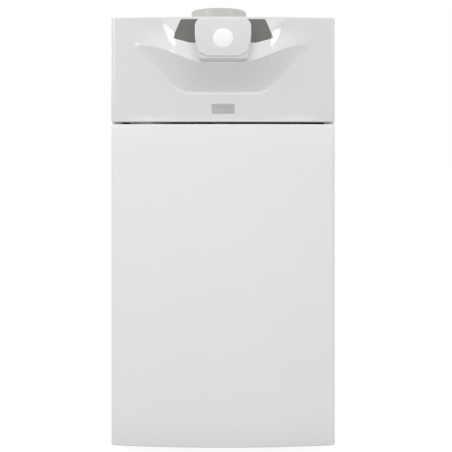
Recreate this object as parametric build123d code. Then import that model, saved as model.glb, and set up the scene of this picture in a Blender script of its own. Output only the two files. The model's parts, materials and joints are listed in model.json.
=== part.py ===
from build123d import *
from math import cos, radians, sin, sqrt, tan
import os

# Floor standing condensing gas boiler. Millimetres, +Z up, the front faces -Y.
# The origin is on the floor under the middle of the boiler's box.

# Casing
casing_width = 450.0
casing_depth = 545.0
door_height = 643.5
hood_height = 209.5
panel_gap = 4.2
front_bow = 14.5
corner_radius = 8.5
return_depth = 25.0
return_gap = 2.0
sheet = 1.2
moulding_wall = 3.0
front_flange = 20.0
top_flange = 18.0
rear_flange = 16.0
tray_wall_height = 42.0
rail_height = 24.0
rail_depth = 56.0
rail_setback = 14.0
rail_lip_gap = 2.0
rear_reach = 35.0

# Beak of the hood
beak_tilt = 17.0
ridge_drop = 93.0
ridge_lift = 38.5
ridge_flat_half = 30.0
ridge_end_half = 162.0
beak_fade_half = 86.0
beak_half = 174.0
beak_least = 0.5
beak_sink = 1.0
scoop_drop = 150.0
scoop_lift = 90.0
scoop_flat_half = 70.0
scoop_end_half = 182.0
scoop_bend_share = 0.62
scoop_depth_share = 0.14
beak_root = 12.0
beak_section_shares = (0, 0.17, 0.34, 0.5, 0.66, 0.8, 0.92, 1)

# Smoked fascia, seen as a window on each side of the flap
window_top_drop = 5.0
window_top_half = 84.0
window_side_drop = 41.5
window_side_half = 98.7
window_corner_drop = 44.5
window_corner_half = 95.5
window_low_drop = 53.0
window_low_half = 63.5
panel_half = 45.0
panel_low_drop = 84.0
fascia_gap = 0.2
fascia_post_radius = 3.0
fascia_post_x = 40.0
fascia_post_drops = (21.0, 79.0)
board_depth = 16.0
board_thickness = 1.6
board_margin = 2.0

# Control flap and its hinge
flap_half = 55.4
flap_low_half = 47.0
flap_taper_drop = 53.0
flap_low_drop = 91.0
flap_tilt = 13.0
flap_proud = 7.0
flap_wall = 2.4
flap_gap = 0.6
flap_corner = 11.0
flap_low_corner = 5.0
flap_lip_height = 8.5
flap_lip_depth = 2.0
hinge_drop = 8.8
hinge_stand = 4.5
hinge_boss_radius = 3.8
hinge_pin_radius = 1.5
hinge_running_gap = 0.05
hinge_ear_radius = 3.0
hinge_ear_x = 33.0
hinge_ear_width = 6.0
hinge_ear_gap = 0.35
disc_radius = 20.0
disc_thickness = 1.2
disc_drop = 46.2

# Plate on the hood
badge_width = 45.0
badge_height = 19.0
badge_thickness = 1.0
badge_drop = 182.0

# Controls under the flap
lens_width = 52.0
lens_height = 26.0
lens_x = -7.0
lens_drop = 30.0
lens_thickness = 1.6
lens_seat = 1.2
button_names = ("mode", "minus", "plus", "reset")
button_width = 15.0
button_height = 8.0
button_corner = 2.5
button_pitch = 18.0
button_drop = 72.0
button_proud = 1.6
button_gap = 0.3
button_travel = 1.2
button_flange = 1.5
button_flange_thickness = 1.2
button_stem_radius = 2.0
switch_width = 13.0
switch_height = 20.0
switch_x = 32.0
switch_drop = 40.0
switch_pivot_depth = 7.0
switch_cup_seat = 5.0
switch_foot_depth = 5.0
switch_proud = 1.2
switch_gap = 0.35
switch_taper = 1.0
switch_foot_taper = 2.0
switch_swing = 14.0
switch_pin_radius = 1.2

# Control box on the upper rail
box_half = 150.0
box_setback = 32.0
box_depth = 86.0
box_top_clearance = 14.0
box_wall = 2.5
main_board_rise = 10.0
main_board_margin = 12.0
board_post_radius = 4.0
board_part_height = 14.0
board_part_size = 26.0
board_part_pitch = 56.0
board_part_count = 4
gland_radius = 9.0
gland_bore = 4.0
gland_length = 18.0
gland_nut_radius = 12.0
gland_nut_thickness = 5.0
gland_gap = 0.2
gland_pitch = 34.0
gland_count = 2
gland_side_inset = 85.0
gland_drop = 60.0

# Door
door_pan_inset = 2.0
door_pan_low = 34.0
door_pan_top = 8.0
door_pad_margin = 6.0
door_pad_gap = 0.3
catch_radius = 4.0
catch_gap = 1.2
catch_length = 14.0
catch_drop = 26.0
catch_inset = 11.5
pivot_radius = 3.0
pivot_height = 7.5
pivot_setback = 3.0
pivot_running_gap = 0.05
lug_radius = 4.5
lug_thickness = 3.0
lug_gap = 0.5
lug_inset = 46.0
pivot_tab_thickness = 2.5

# Feet
foot_clear = 15.0
foot_pad_radius = 21.0
foot_pad_height = 11.0
foot_stud_radius = 5.0
foot_stud_length = 34.0
foot_running_gap = 0.06
foot_nut_radius = 9.0
foot_nut_height = 8.0
foot_side_inset = 42.0
foot_front_setback = 95.0
foot_rear_setback = 55.0

# Fasteners
nut_sides = 6
screw_head_radius = 4.0
screw_head_height = 2.2
screw_shank_radius = 1.9
screw_length = 8.0
screw_inset = 9.0
rear_screw_rows = 5
top_screw_rows = 3
screw_end_inset = 40.0
screw_recess_gap = 0.2
hood_screw_side_inset = 75.0
hood_screw_setback = 19.0

# Heat exchanger, lying front to back
exchanger_share = 0.63
exchanger_radius = 160.0
exchanger_wall = 2.0
exchanger_front = 198.0
exchanger_length = 290.0
exchanger_flange = 8.0
exchanger_flange_thickness = 4.0
exchanger_mouth_radius = 104.0
coil_gap = 0.3
coil_band = 49.7
coil_turns = 8
coil_turn_width = 22.0
coil_groove = 8.0
coil_start = 24.0
coil_drum_inset = 25.7
coil_drum_wall = 6.0
cradle_half = 112.0
cradle_thickness = 3.0
cradle_gap = 0.2
cradle_front_inset = 60.0
cradle_rear_inset = 40.0
cradle_foot = 26.0

# Burner
burner_door_radius = 118.0
burner_door_thickness = 12.0
burner_port_radius = 30.0
burner_nut_circle = 111.0
burner_nut_count = 6
burner_nut_start = 90.0
burner_nut_radius = 5.0
burner_nut_height = 5.0
burner_pad_thickness = 18.0
burner_pad_gap = 1.0
burner_radius = 38.0
burner_bore = 35.0
burner_length = 170.0
electrode_radius = 1.6
electrode_ceramic_radius = 5.0
electrode_x = -62.0
electrode_pitch = 14.0
electrode_front = 22.0
electrode_ceramic_front = 16.0
electrode_reach = 44.0

# Fan and mixer
elbow_radius = 34.0
elbow_bend = 38.0
elbow_flange = 46.0
elbow_flange_thickness = 6.0
elbow_reach = 75.0
fan_radius = 68.0
fan_width = 66.0
fan_wall = 3.0
fan_rise = 132.0
fan_inlet_radius = 28.0
fan_outlet_drop = 84.0
impeller_radius = 57.0
impeller_plate = 2.5
impeller_blades = 18
impeller_blade_thickness = 1.6
impeller_blade_length = 20.0
impeller_eye_radius = 34.0
impeller_side_gap = 4.0
impeller_hub_radius = 12.0
impeller_hub_length = 16.0
fan_shaft_radius = 4.0
fan_shaft_gap = 0.06
motor_radius = 40.0
motor_length = 56.0
motor_bore_depth = 30.0
mixer_radius = 34.0
mixer_length = 84.0
mixer_throat = 18.0
mixer_mouth = 28.0
mixer_boss_x = 58.0
mixer_boss_half = 16.0
mixer_boss_drop = 40.0
mixer_gas_bore = 6.0
silencer_radius = 38.0
silencer_wall = 2.0
silencer_length = 70.0
valve_width = 62.0
valve_depth = 66.0
valve_height = 84.0
valve_neck_radius = 13.0
valve_neck_height = 14.0

# Pipes
gas_pipe_radius = 11.0
gas_pipe_wall = 1.5
gas_pipe_bend = 26.0
gas_pipe_drop = 62.0
gas_pipe_offset = 59.0
gas_pipe_height = 96.0
gas_thread_radius = 13.2
water_pipe_radius = 14.0
water_pipe_wall = 1.5
water_thread_radius = 16.6
thread_length = 24.0
water_pipe_x = 92.0
flow_rise = 86.0
return_fall = 86.0
pipe_nut_radius = 22.0
pipe_nut_length = 16.0
panel_hole_gap = 3.0

# Condensate trap and pipe
trap_radius = 34.0
trap_height = 128.0
trap_cup_height = 46.0
trap_cup_radius = 29.0
trap_neck_radius = 12.0
trap_neck_length = 22.0
trap_bore = 6.0
trap_setback = 152.0
trap_outlet_drop = 26.0
condensate_radius = 10.0
condensate_wall = 1.6
condensate_bend = 24.0
condensate_spigot = 30.0
condensate_bead_radius = 11.6
condensate_bead_width = 3.0
condensate_side_inset = 75.0
condensate_height = 72.0

# Drain cock
cock_setback = 26.0
cock_pipe_radius = 8.0
cock_pipe_length = 46.0
cock_width = 26.0
cock_depth = 44.0
cock_height = 26.0
cock_spout_radius = 9.0
cock_spout_bore = 6.0
cock_spout_length = 26.0
cock_spindle_radius = 4.0
cock_spindle_gap = 0.06
cock_spindle_reach = 9.0
cock_spindle_depth = 14.0
cock_lever_length = 46.0
cock_lever_width = 9.0
cock_lever_thickness = 5.0

# Pressure gauge behind the door
gauge_drop = 78.0
gauge_side_inset = 77.0
gauge_radius = 31.0
gauge_wall = 2.0
gauge_depth = 20.0
gauge_dial_depth = 7.0
gauge_glass_thickness = 1.6
gauge_glass_seat = 1.0
gauge_plate_margin = 9.0
gauge_stem_radius = 5.0
gauge_stem_length = 18.0
needle_length = 21.0
needle_tail = 7.0
needle_width = 1.6
needle_thickness = 0.8
needle_rise = 1.2
needle_shaft_radius = 1.0
needle_shaft_gap = 0.05
needle_shaft_depth = 3.0
needle_hub_radius = 2.6
needle_rest = -135.0

# Flue duct and the collar on the top panel
collar_x = -10.1
collar_setback = 350.0
collar_radius = 65.5
collar_bore = 62.7
collar_height = 67.6
collar_shoulder = 2.6
collar_foot_radius = 67.0
collar_foot_height = 14.0
collar_flange_radius = 84.0
collar_flange_thickness = 3.0
collar_screw_circle = 75.5
collar_screw_count = 4
collar_screw_start = 45.0
collar_air_radius = 60.0
flue_radius = 40.0
flue_wall = 1.5
flue_gap = 0.15
socket_wall = 2.6
socket_depth = 44.0
socket_stop = 4.0
socket_rim_drop = 5.0
socket_base = 18.0
rib_count = 3
rib_thickness = 4.0
rib_height = 12.0
rib_rise = 1.0
rib_bite = 0.5

# Ignition lead, from the control box to the electrodes
lead_radius = 2.6
lead_bend = 14.0
lead_setback = 100.0
lead_drop = 34.0
lead_slope = 30.0
lead_depth = 14.0

# One overrun serves every cut, and corners are picked within near_enough of their edge
overrun = 2.0
near_enough = 0.5

# Places worked out from the sizes
ridge_rise = (ridge_drop - beak_sink) * tan(radians(beak_tilt)) - beak_sink
front_reach = front_bow + ridge_rise + flap_proud
overall_depth = front_reach + casing_depth + rear_reach
front_y = front_reach - overall_depth / 2
back_y = front_y + casing_depth
half_width = casing_width / 2
door_bottom = foot_clear
door_top = door_bottom + door_height
hood_bottom = door_top + panel_gap
casing_top = hood_bottom + hood_height
return_y = front_y + return_depth
frame_y = return_y + return_gap
inner_half = half_width - sheet
gas_pipe_x = fan_width / 2 + mixer_boss_x + gas_pipe_offset
condensate_x = condensate_side_inset - half_width
gauge_x = gauge_side_inset - half_width
hood_screw_x = half_width - hood_screw_side_inset
tray_top = door_bottom + sheet
channel_y = frame_y + sheet
rail_y = front_y + rail_setback
rail_bottom = hood_bottom + moulding_wall
rail_top = rail_bottom + rail_height
exchanger_z = door_bottom + door_height * exchanger_share
exchanger_y = front_y + exchanger_front
exchanger_end = exchanger_y + exchanger_length
burner_face = exchanger_y - exchanger_flange_thickness
burner_front = burner_face - burner_door_thickness
fan_y = burner_front - elbow_reach
fan_z = exchanger_z + fan_rise
collar_y = front_y + collar_setback
collar_top = casing_top + collar_height
socket_top = collar_top - socket_rim_drop
socket_bottom = casing_top - socket_base
bow_radius = (half_width**2 + front_bow**2) / (2 * front_bow)

front = (0, -1, 0)
rear = (0, 1, 0)
right = (1, 0, 0)
left = (-1, 0, 0)
up = (0, 0, 1)
down = (0, 0, -1)


# Small helpers

def block(x, y, z):
    low = (x[0], y[0], z[0])
    high = (x[1], y[1], z[1])
    size = [b - a for a, b in zip(low, high)]
    middle = [(a + b) / 2 for a, b in zip(low, high)]
    return Pos(*middle) * Box(*size)


def rod(start, along, radius, length):
    return extrude(Plane(origin=start, z_dir=along) * Circle(radius), length)


def tube(start, along, outer, bore, length):
    ring = Circle(outer) - Circle(bore)
    return extrude(Plane(origin=start, z_dir=along) * ring, length)


def nut(start, along, radius, length):
    outline = RegularPolygon(radius, nut_sides)
    return extrude(Plane(origin=start, z_dir=along) * outline, length)


def bent_tube(points, bend, radius, bore):
    path = FilletPolyline(*points, radius=bend)
    ends = Plane(origin=path @ 0, z_dir=path % 0)
    return sweep(ends * (Circle(radius) - Circle(bore)), path=path)


def bent_rod(points, bend, radius):
    path = FilletPolyline(*points, radius=bend)
    return sweep(Plane(origin=path @ 0, z_dir=path % 0) * Circle(radius), path=path)


def group(pieces):
    return Compound(children=pieces)


def mirrored(x):
    return (-x, x)


def smooth(low, high, value):
    share = min(max((value - low) / (high - low), 0), 1)
    return share * share * (3 - 2 * share)


# Bowed front of the door and the hood

def bow_y(x):
    return front_y - front_bow + bow_radius - sqrt(bow_radius**2 - x**2)


def bowed_face(inset, back):
    half = half_width - inset
    near = front_y + inset
    arc = ThreePointArc((-half, near), (0, near - front_bow), (half, near))
    rest = Polyline((half, near), (half, back), (-half, back), (-half, near))
    face = make_face(arc + rest)
    corners = face.vertices().filter_by(lambda v: abs(v.Y - near) < near_enough)
    return fillet(corners, corner_radius - inset)


def bowed_block(inset, back, low, high):
    return Pos(0, 0, low) * extrude(bowed_face(inset, back), high - low)


# Hood with its beak

def beak_section(x, inset):
    side = abs(x)
    drop = ridge_drop - ridge_lift * smooth(ridge_flat_half, ridge_end_half, side)
    fade = 1 - smooth(beak_fade_half, beak_half, side)
    rise = max((drop - beak_sink) * tan(radians(beak_tilt)) * fade, beak_least)
    low = scoop_drop - scoop_lift * smooth(scoop_flat_half, scoop_end_half, side)
    bend = drop + (low - drop) * scoop_bend_share
    y = bow_y(x) + beak_sink + inset
    top = casing_top - beak_sink - inset
    foot = casing_top - low + inset
    points = (
        (y + beak_root, top),
        (y, top),
        (y - rise, casing_top - drop),
        (y - rise * scoop_depth_share, casing_top - bend),
        (y, foot),
        (y + beak_root, foot),
    )
    section = Plane(origin=(x, 0, 0), x_dir=rear, z_dir=right)
    return section * make_face(Polyline(*points, close=True))


def beak(inset):
    half_places = [share * beak_half for share in beak_section_shares]
    places = [-x for x in reversed(half_places[1:])] + half_places
    return loft([beak_section(x, inset) for x in places])


def hood_solid():
    return bowed_block(0, return_y, hood_bottom, casing_top) + beak(0)


def hood_hollow():
    low = hood_bottom + moulding_wall
    high = casing_top - moulding_wall
    room = bowed_block(moulding_wall, return_y + overrun, low, high)
    return room + beak(moulding_wall)


def front_prism(outline):
    reach = front_reach + return_depth
    return extrude(Plane(origin=(0, return_y, 0), x_dir=right, z_dir=front) * outline, reach)


def fascia_outline():
    half = (
        (0, casing_top - window_top_drop),
        (window_top_half, casing_top - window_top_drop),
        (window_side_half, casing_top - window_side_drop),
        (window_corner_half, casing_top - window_corner_drop),
        (window_low_half, casing_top - window_low_drop),
        (panel_half, casing_top - window_low_drop),
        (panel_half, casing_top - panel_low_drop),
        (0, casing_top - panel_low_drop),
    )
    other = [(-x, z) for x, z in reversed(half[1:-1])]
    return make_face(Polyline(*half, *other, close=True))


def hood(shell):
    opening = front_prism(offset(fascia_outline(), fascia_gap))
    recesses = [
        rod((x, front_y + hood_screw_setback, hood_bottom - overrun), up,
            screw_head_radius + screw_recess_gap, screw_head_height + overrun)
        for x in mirrored(hood_screw_x)
    ]
    return shell - opening - recesses - screw_shanks()


def badge_plate():
    middle = casing_top - badge_drop
    outline = Pos(0, middle) * RectangleRounded(badge_width, badge_height, badge_thickness)
    skin = bowed_block(-badge_thickness, return_y, middle - badge_height, middle + badge_height)
    skin -= bowed_block(0, return_y + overrun, hood_bottom, casing_top)
    return skin & front_prism(outline)


# Control panel on the slope of the beak

def band_y(drop):
    return front_y - front_bow + beak_sink - (drop - beak_sink) * tan(radians(beak_tilt))


def band_plane(x, drop):
    slope = radians(beak_tilt)
    outward = (0, -cos(slope), sin(slope))
    return Plane(origin=(x, band_y(drop), casing_top - drop), x_dir=right, z_dir=outward)


def hinge_line():
    return band_y(hinge_drop) - hinge_stand, casing_top - hinge_drop


def button_places():
    middle = (len(button_names) - 1) / 2
    return [(index - middle) * button_pitch for index in range(len(button_names))]


def button_hole():
    size = (button_width + 2 * button_gap, button_height + 2 * button_gap)
    return RectangleRounded(*size, button_corner + button_gap)


def display_fascia(shell):
    fascia = shell & front_prism(fascia_outline())
    axis_y, axis_z = hinge_line()
    for x in mirrored(hinge_ear_x):
        sides = (x - hinge_ear_width / 2, x + hinge_ear_width / 2)
        neck = (axis_z - hinge_ear_radius, axis_z + hinge_ear_radius)
        fascia += block(sides, (axis_y, band_y(hinge_drop) + moulding_wall), neck)
        fascia += rod((sides[0], axis_y, axis_z), right, hinge_ear_radius, hinge_ear_width)
        fascia -= rod((sides[0] - overrun, axis_y, axis_z), right, hinge_pin_radius,
                      hinge_ear_width + 2 * overrun)
    for x in mirrored(fascia_post_x):
        for drop in fascia_post_drops:
            seat = band_plane(x, drop).offset(-board_depth)
            post = extrude(seat * Circle(fascia_post_radius), board_depth - moulding_wall / 2)
            fascia += post
    for x in button_places():
        hole = band_plane(x, button_drop).offset(-board_depth) * button_hole()
        fascia -= extrude(hole, board_depth + moulding_wall)
    window = band_plane(lens_x, lens_drop)
    fascia -= extrude(window.offset(-lens_seat) * Rectangle(lens_width, lens_height),
                      moulding_wall)
    view = Rectangle(lens_width - 2 * lens_thickness, lens_height - 2 * lens_thickness)
    fascia -= extrude(window.offset(-board_depth) * view, board_depth)
    slot = Rectangle(switch_width + 2 * switch_gap, switch_height + 2 * switch_gap)
    fascia -= extrude(band_plane(switch_x, switch_drop).offset(-board_depth) * slot,
                      board_depth + moulding_wall)
    return fascia


def display_lens():
    seat = band_plane(lens_x, lens_drop).offset(-lens_seat)
    return extrude(seat * Rectangle(lens_width, lens_height), lens_thickness)


def display_board():
    drops = fascia_post_drops
    middle = sum(drops) / len(drops)
    size = (2 * (fascia_post_x + fascia_post_radius + board_margin),
            drops[1] - drops[0] + 2 * (fascia_post_radius + board_margin))
    seat = band_plane(0, middle).offset(-board_depth - board_thickness)
    board = extrude(seat * Rectangle(*size), board_thickness)
    rocker = band_plane(switch_x, switch_drop).offset(-board_depth)
    cup = Rectangle(switch_width + 2 * switch_gap, switch_height + 2 * switch_gap)
    wall = Rectangle(switch_width + 2 * switch_gap + 2 * board_thickness,
                     switch_height + 2 * switch_gap + 2 * board_thickness)
    depth = board_depth - switch_cup_seat
    board += extrude(rocker * wall, depth) - extrude(rocker * cup, depth)
    reach = switch_width + 2 * switch_gap + 2 * board_thickness
    pivot = switch_pivot()
    board -= rod(pivot.origin - Vector(reach / 2 + overrun, 0, 0), right,
                 switch_pin_radius + hinge_running_gap, reach + 2 * overrun)
    return board


def button(x):
    face = RectangleRounded(button_width, button_height, button_corner)
    rim = RectangleRounded(button_width + 2 * button_flange,
                           button_height + 2 * button_flange, button_corner)
    behind = moulding_wall + button_gap + button_travel / 2
    seat = band_plane(x, button_drop)
    cap = extrude(seat.offset(-behind) * face, behind + button_proud)
    flange = extrude(seat.offset(-behind - button_flange_thickness) * rim,
                     button_flange_thickness)
    reach = board_depth - behind - button_flange_thickness - button_travel - 2 * button_gap
    stem = extrude(seat.offset(-behind - button_flange_thickness - reach)
                   * Circle(button_stem_radius), reach)
    return cap + flange + stem


def switch_pivot():
    return band_plane(switch_x, switch_drop).offset(-switch_pivot_depth)


def power_switch():
    pivot = switch_pivot()
    half = switch_height / 2
    face = switch_pivot_depth + switch_proud
    dip = half * tan(radians(switch_swing / 2))
    foot = half - switch_foot_taper
    rim = half - switch_taper
    profile = make_face(Polyline(
        (-foot, -switch_foot_depth), (foot, -switch_foot_depth), (half, 0), (rim, face),
        (0, face - dip), (-rim, face), (-half, 0), close=True))
    start = pivot.origin - Vector(switch_width / 2, 0, 0)
    side = Plane(origin=start, x_dir=pivot.y_dir, z_dir=right)
    body = extrude(side * Rot(0, 0, -switch_swing / 2) * profile, switch_width)
    reach = switch_width / 2 + switch_gap + board_thickness
    return body + rod(pivot.origin - Vector(reach, 0, 0), right, switch_pin_radius, 2 * reach)


def control_flap():
    axis_y, axis_z = hinge_line()
    low_z = casing_top - flap_low_drop
    top_z = axis_z + hinge_boss_radius
    lean = tan(radians(flap_tilt))
    lip_z = low_z + flap_lip_height
    lip_face = front_y - front_reach
    low_face = lip_face + flap_lip_depth
    top_face = lip_face + (top_z - lip_z) * lean
    back_low = band_y(flap_low_drop) - flap_gap
    back_top = band_y(hinge_drop) - flap_gap
    side = Plane(origin=(-flap_half, 0, 0), x_dir=rear, z_dir=right)
    profile = make_face(Polyline(
        (axis_y, top_z), (top_face, top_z), (lip_face, lip_z), (low_face, lip_z),
        (low_face, low_z), (back_low, low_z), (back_top, axis_z), close=True))
    body = extrude(side * profile, 2 * flap_half)
    body += rod((-flap_half, axis_y, axis_z), right, hinge_boss_radius, 2 * flap_half)
    room_top = axis_z - hinge_boss_radius - flap_wall
    room_low = low_z + flap_wall
    room = make_face(Polyline(
        (lip_face + (room_top - lip_z) * lean + flap_wall, room_top),
        (low_face + flap_wall, room_low), (back_low + overrun, room_low),
        (back_top + overrun, room_top), close=True))
    inner = Plane(origin=(-flap_half + flap_wall, 0, 0), x_dir=rear, z_dir=right)
    cavity = extrude(inner * room, 2 * (flap_half - flap_wall))
    body -= cavity & front_prism(offset(flap_outline(), -flap_wall))
    body = body & front_prism(flap_outline())
    for x in mirrored(hinge_ear_x):
        reach = hinge_ear_width / 2 + hinge_ear_gap
        slot_y = (axis_y - hinge_boss_radius - hinge_ear_gap, back_top + overrun)
        slot_z = (axis_z - hinge_boss_radius - hinge_ear_gap, top_z + overrun)
        body -= block((x - reach, x + reach), slot_y, slot_z)
    body -= rod((-flap_half - overrun, axis_y, axis_z), right,
                hinge_pin_radius + hinge_running_gap, 2 * (flap_half + overrun))
    body -= rod(*disc_seat(), disc_radius + button_gap, disc_thickness)
    return body


def flap_outline():
    low_z = casing_top - flap_low_drop
    top_z = casing_top - hinge_drop + hinge_boss_radius
    taper_z = casing_top - flap_taper_drop
    points = ((-flap_half, top_z), (flap_half, top_z), (flap_half, taper_z),
              (flap_low_half, low_z), (-flap_low_half, low_z), (-flap_half, taper_z))
    face = make_face(Polyline(*points, close=True))
    face = fillet(face.vertices().filter_by(lambda v: v.Y > top_z - near_enough), flap_corner)
    return fillet(face.vertices().filter_by(lambda v: v.Y < low_z + near_enough), flap_low_corner)


def disc_seat():
    lean = radians(flap_tilt)
    lip_z = casing_top - flap_low_drop + flap_lip_height
    middle_z = casing_top - disc_drop
    face_y = front_y - front_reach + (middle_z - lip_z) * tan(lean)
    inward = (0, cos(lean), -sin(lean))
    return (0, face_y, middle_z), inward


def flap_disc():
    return rod(*disc_seat(), disc_radius, disc_thickness)


def flap_hinge_pin():
    axis_y, axis_z = hinge_line()
    reach = flap_half - flap_corner
    return rod((-reach, axis_y, axis_z), right, hinge_pin_radius, 2 * reach)


# Casing panels and frame

def side_panel():
    low, high = door_bottom, casing_top - sheet
    panel = block((inner_half, half_width), (frame_y, back_y), (low, casing_top))
    panel += block((half_width - front_flange, half_width), (frame_y, frame_y + sheet),
                   (low, high))
    panel += block((half_width - top_flange, half_width), (frame_y, back_y - sheet),
                   (high - sheet, high))
    panel += block((half_width - rear_flange, half_width),
                   (back_y - 2 * sheet, back_y - sheet), (low, high))
    catch = (half_width - catch_inset, frame_y - overrun, door_top - catch_drop)
    panel -= rod(catch, rear, catch_radius + catch_gap, sheet + 2 * overrun)
    return panel - screw_shanks()


def rear_panel():
    panel = block((-inner_half, inner_half), (back_y - sheet, back_y),
                  (door_bottom, casing_top - sheet))
    for x, z, radius in rear_holes():
        panel -= rod((x, back_y - sheet - overrun, z), rear, radius, sheet + 2 * overrun)
    return panel - screw_shanks()


def rear_holes():
    water = water_pipe_radius + panel_hole_gap
    holes = [
        (water_pipe_x, exchanger_z + flow_rise, water),
        (water_pipe_x, exchanger_z - return_fall, water),
        (gas_pipe_x, gas_pipe_height, gas_pipe_radius + panel_hole_gap),
        (condensate_x, condensate_height, condensate_radius + panel_hole_gap),
    ]
    return holes + [(x, z, gland_radius + gland_gap) for x, z in gland_places()]


def gland_places():
    x = half_width - gland_side_inset
    return [(x + index * gland_pitch, casing_top - gland_drop) for index in range(gland_count)]


def cable_glands():
    glands = []
    for x, z in gland_places():
        start = (x, back_y - sheet - gland_nut_thickness, z)
        length = gland_nut_thickness + sheet + gland_length
        gland = rod(start, rear, gland_radius, length)
        gland += nut(start, rear, gland_nut_radius, gland_nut_thickness)
        gland += nut((x, back_y, z), rear, gland_nut_radius, gland_nut_thickness)
        bore_start = (x, start[1] - overrun, z)
        glands.append(gland - rod(bore_start, rear, gland_bore, length + 2 * overrun))
    return group(glands)


def top_panel():
    panel = block((-inner_half, inner_half), (frame_y, back_y),
                  (casing_top - sheet, casing_top))
    hole = (collar_x, collar_y, casing_top - sheet - overrun)
    panel -= rod(hole, up, collar_air_radius, sheet + 2 * overrun)
    return panel - screw_shanks()


def foot_places():
    x = half_width - foot_side_inset
    near = front_y + foot_front_setback
    far = back_y - foot_rear_setback
    return {"front_left": (-x, near), "front_right": (x, near),
            "rear_left": (-x, far), "rear_right": (x, far)}


def lug_places():
    return mirrored(half_width - lug_inset)


def pivot_line():
    return return_y - pivot_setback, door_bottom + pivot_height


def pivot_tab_sides(x):
    side = 1 if x > 0 else -1
    near = x + side * (lug_thickness / 2 + lug_gap)
    return sorted((near, near + side * pivot_tab_thickness))


def base_tray():
    rear_wall = back_y - 2 * sheet
    top = door_bottom + tray_wall_height
    tray = block((-inner_half, inner_half), (channel_y, rear_wall), (door_bottom, top))
    tray -= block((sheet - inner_half, inner_half - sheet),
                  (channel_y + sheet, rear_wall - sheet), (tray_top, top + overrun))
    pivot_y, pivot_z = pivot_line()
    for x in lug_places():
        sides = pivot_tab_sides(x)
        tray += block(sides, (pivot_y, channel_y + sheet),
                      (pivot_z - lug_radius, pivot_z + lug_radius))
        tray += rod((sides[0], pivot_y, pivot_z), right, lug_radius, pivot_tab_thickness)
        tray -= rod((sides[0] - overrun, pivot_y, pivot_z), right, pivot_radius,
                    pivot_tab_thickness + 2 * overrun)
    for x, y in foot_places().values():
        tray += nut((x, y, tray_top), up, foot_nut_radius, foot_nut_height)
        tray -= rod((x, y, door_bottom - overrun), up, foot_stud_radius + foot_running_gap,
                    sheet + foot_nut_height + 2 * overrun)
    return tray - screw_shanks()


def door_pivot_pins():
    pivot_y, pivot_z = pivot_line()
    pins = []
    for x in lug_places():
        sides = pivot_tab_sides(x)
        lug = (x - lug_thickness / 2, x + lug_thickness / 2)
        low = min(sides[0], lug[0] - lug_gap)
        high = max(sides[1], lug[1] + lug_gap)
        pins.append(rod((low, pivot_y, pivot_z), right, pivot_radius, high - low))
    return group(pins)


def foot(x, y):
    pad = rod((x, y, 0), up, foot_pad_radius, foot_pad_height)
    return pad + rod((x, y, foot_pad_height), up, foot_stud_radius, foot_stud_length)


def upper_rail():
    far = channel_y + rail_depth
    rail = block((-inner_half, inner_half), (channel_y, far), (rail_bottom, rail_top))
    rail -= block((-half_width, half_width), (channel_y + sheet, far - sheet),
                  (rail_bottom + sheet, rail_top - sheet))
    lip_half = half_width - front_flange - rail_lip_gap
    rail += block((-lip_half, lip_half), (rail_y, channel_y + sheet),
                  (rail_bottom, rail_bottom + sheet))
    reach = gauge_radius + gauge_plate_margin
    gauge_z = door_top - gauge_drop
    rail += block((gauge_x - reach, gauge_x + reach), (channel_y, channel_y + sheet),
                  (gauge_z - reach, rail_top - sheet))
    rail -= rod((gauge_x, channel_y - overrun, gauge_z), rear, gauge_radius,
                sheet + 2 * overrun)
    return rail - screw_shanks()


# Front door

def front_door():
    door = bowed_block(0, return_y, door_bottom, door_top)
    door -= bowed_block(sheet, return_y + overrun, door_bottom + sheet, door_top - sheet)
    pivot_y, pivot_z = pivot_line()
    for x in lug_places():
        start = x - lug_thickness / 2
        door += block((start, start + lug_thickness), (pivot_y - lug_radius, return_y),
                      (door_bottom, pivot_z))
        door += rod((start, pivot_y, pivot_z), right, lug_radius, lug_thickness)
        door -= rod((start - overrun, pivot_y, pivot_z), right,
                    pivot_radius + pivot_running_gap, lug_thickness + 2 * overrun)
    return door


def pan_back():
    return return_y - door_pan_inset


def door_inner_pan():
    low, high = door_bottom + door_pan_low, door_top - door_pan_top
    pan = block((-inner_half, inner_half), (pan_back() - sheet, pan_back()), (low, high))
    for x in mirrored(half_width - catch_inset):
        start = (x, pan_back(), door_top - catch_drop)
        pan += rod(start, rear, catch_radius, catch_length)
    return pan


def door_insulation():
    low = door_bottom + door_pan_low + door_pad_margin
    high = door_top - door_pan_top - door_pad_margin
    return bowed_block(door_pad_margin, pan_back() - sheet - door_pad_gap, low, high)


# Screws, all alike

def screw_places():
    x = inner_half - screw_inset
    places = []
    for side in mirrored(x):
        for row in range(rear_screw_rows):
            share = row / (rear_screw_rows - 1)
            span = casing_top - door_bottom - 2 * screw_end_inset
            z = door_bottom + screw_end_inset + share * span
            places.append(((side, back_y, z), front))
        for row in range(top_screw_rows):
            share = row / (top_screw_rows - 1)
            y = frame_y + screw_end_inset + share * (back_y - frame_y - 2 * screw_end_inset)
            places.append(((side, y, casing_top), down))
    for turn in range(collar_screw_count):
        angle = radians(collar_screw_start + turn * 360 / collar_screw_count)
        spot = (collar_x + collar_screw_circle * cos(angle),
                collar_y + collar_screw_circle * sin(angle),
                casing_top + collar_flange_thickness)
        places.append((spot, down))
    for side in mirrored(hood_screw_x):
        spot = (side, front_y + hood_screw_setback, hood_bottom + screw_head_height)
        places.append((spot, up))
    return places


def screw_shanks():
    return [rod(spot, inward, screw_shank_radius, screw_length)
            for spot, inward in screw_places()]


def casing_screws():
    screws = []
    for spot, inward in screw_places():
        outward = tuple(-value for value in inward)
        shank = rod(spot, inward, screw_shank_radius, screw_length)
        screws.append(shank + rod(spot, outward, screw_head_radius, screw_head_height))
    return group(screws)


# Control box

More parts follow.
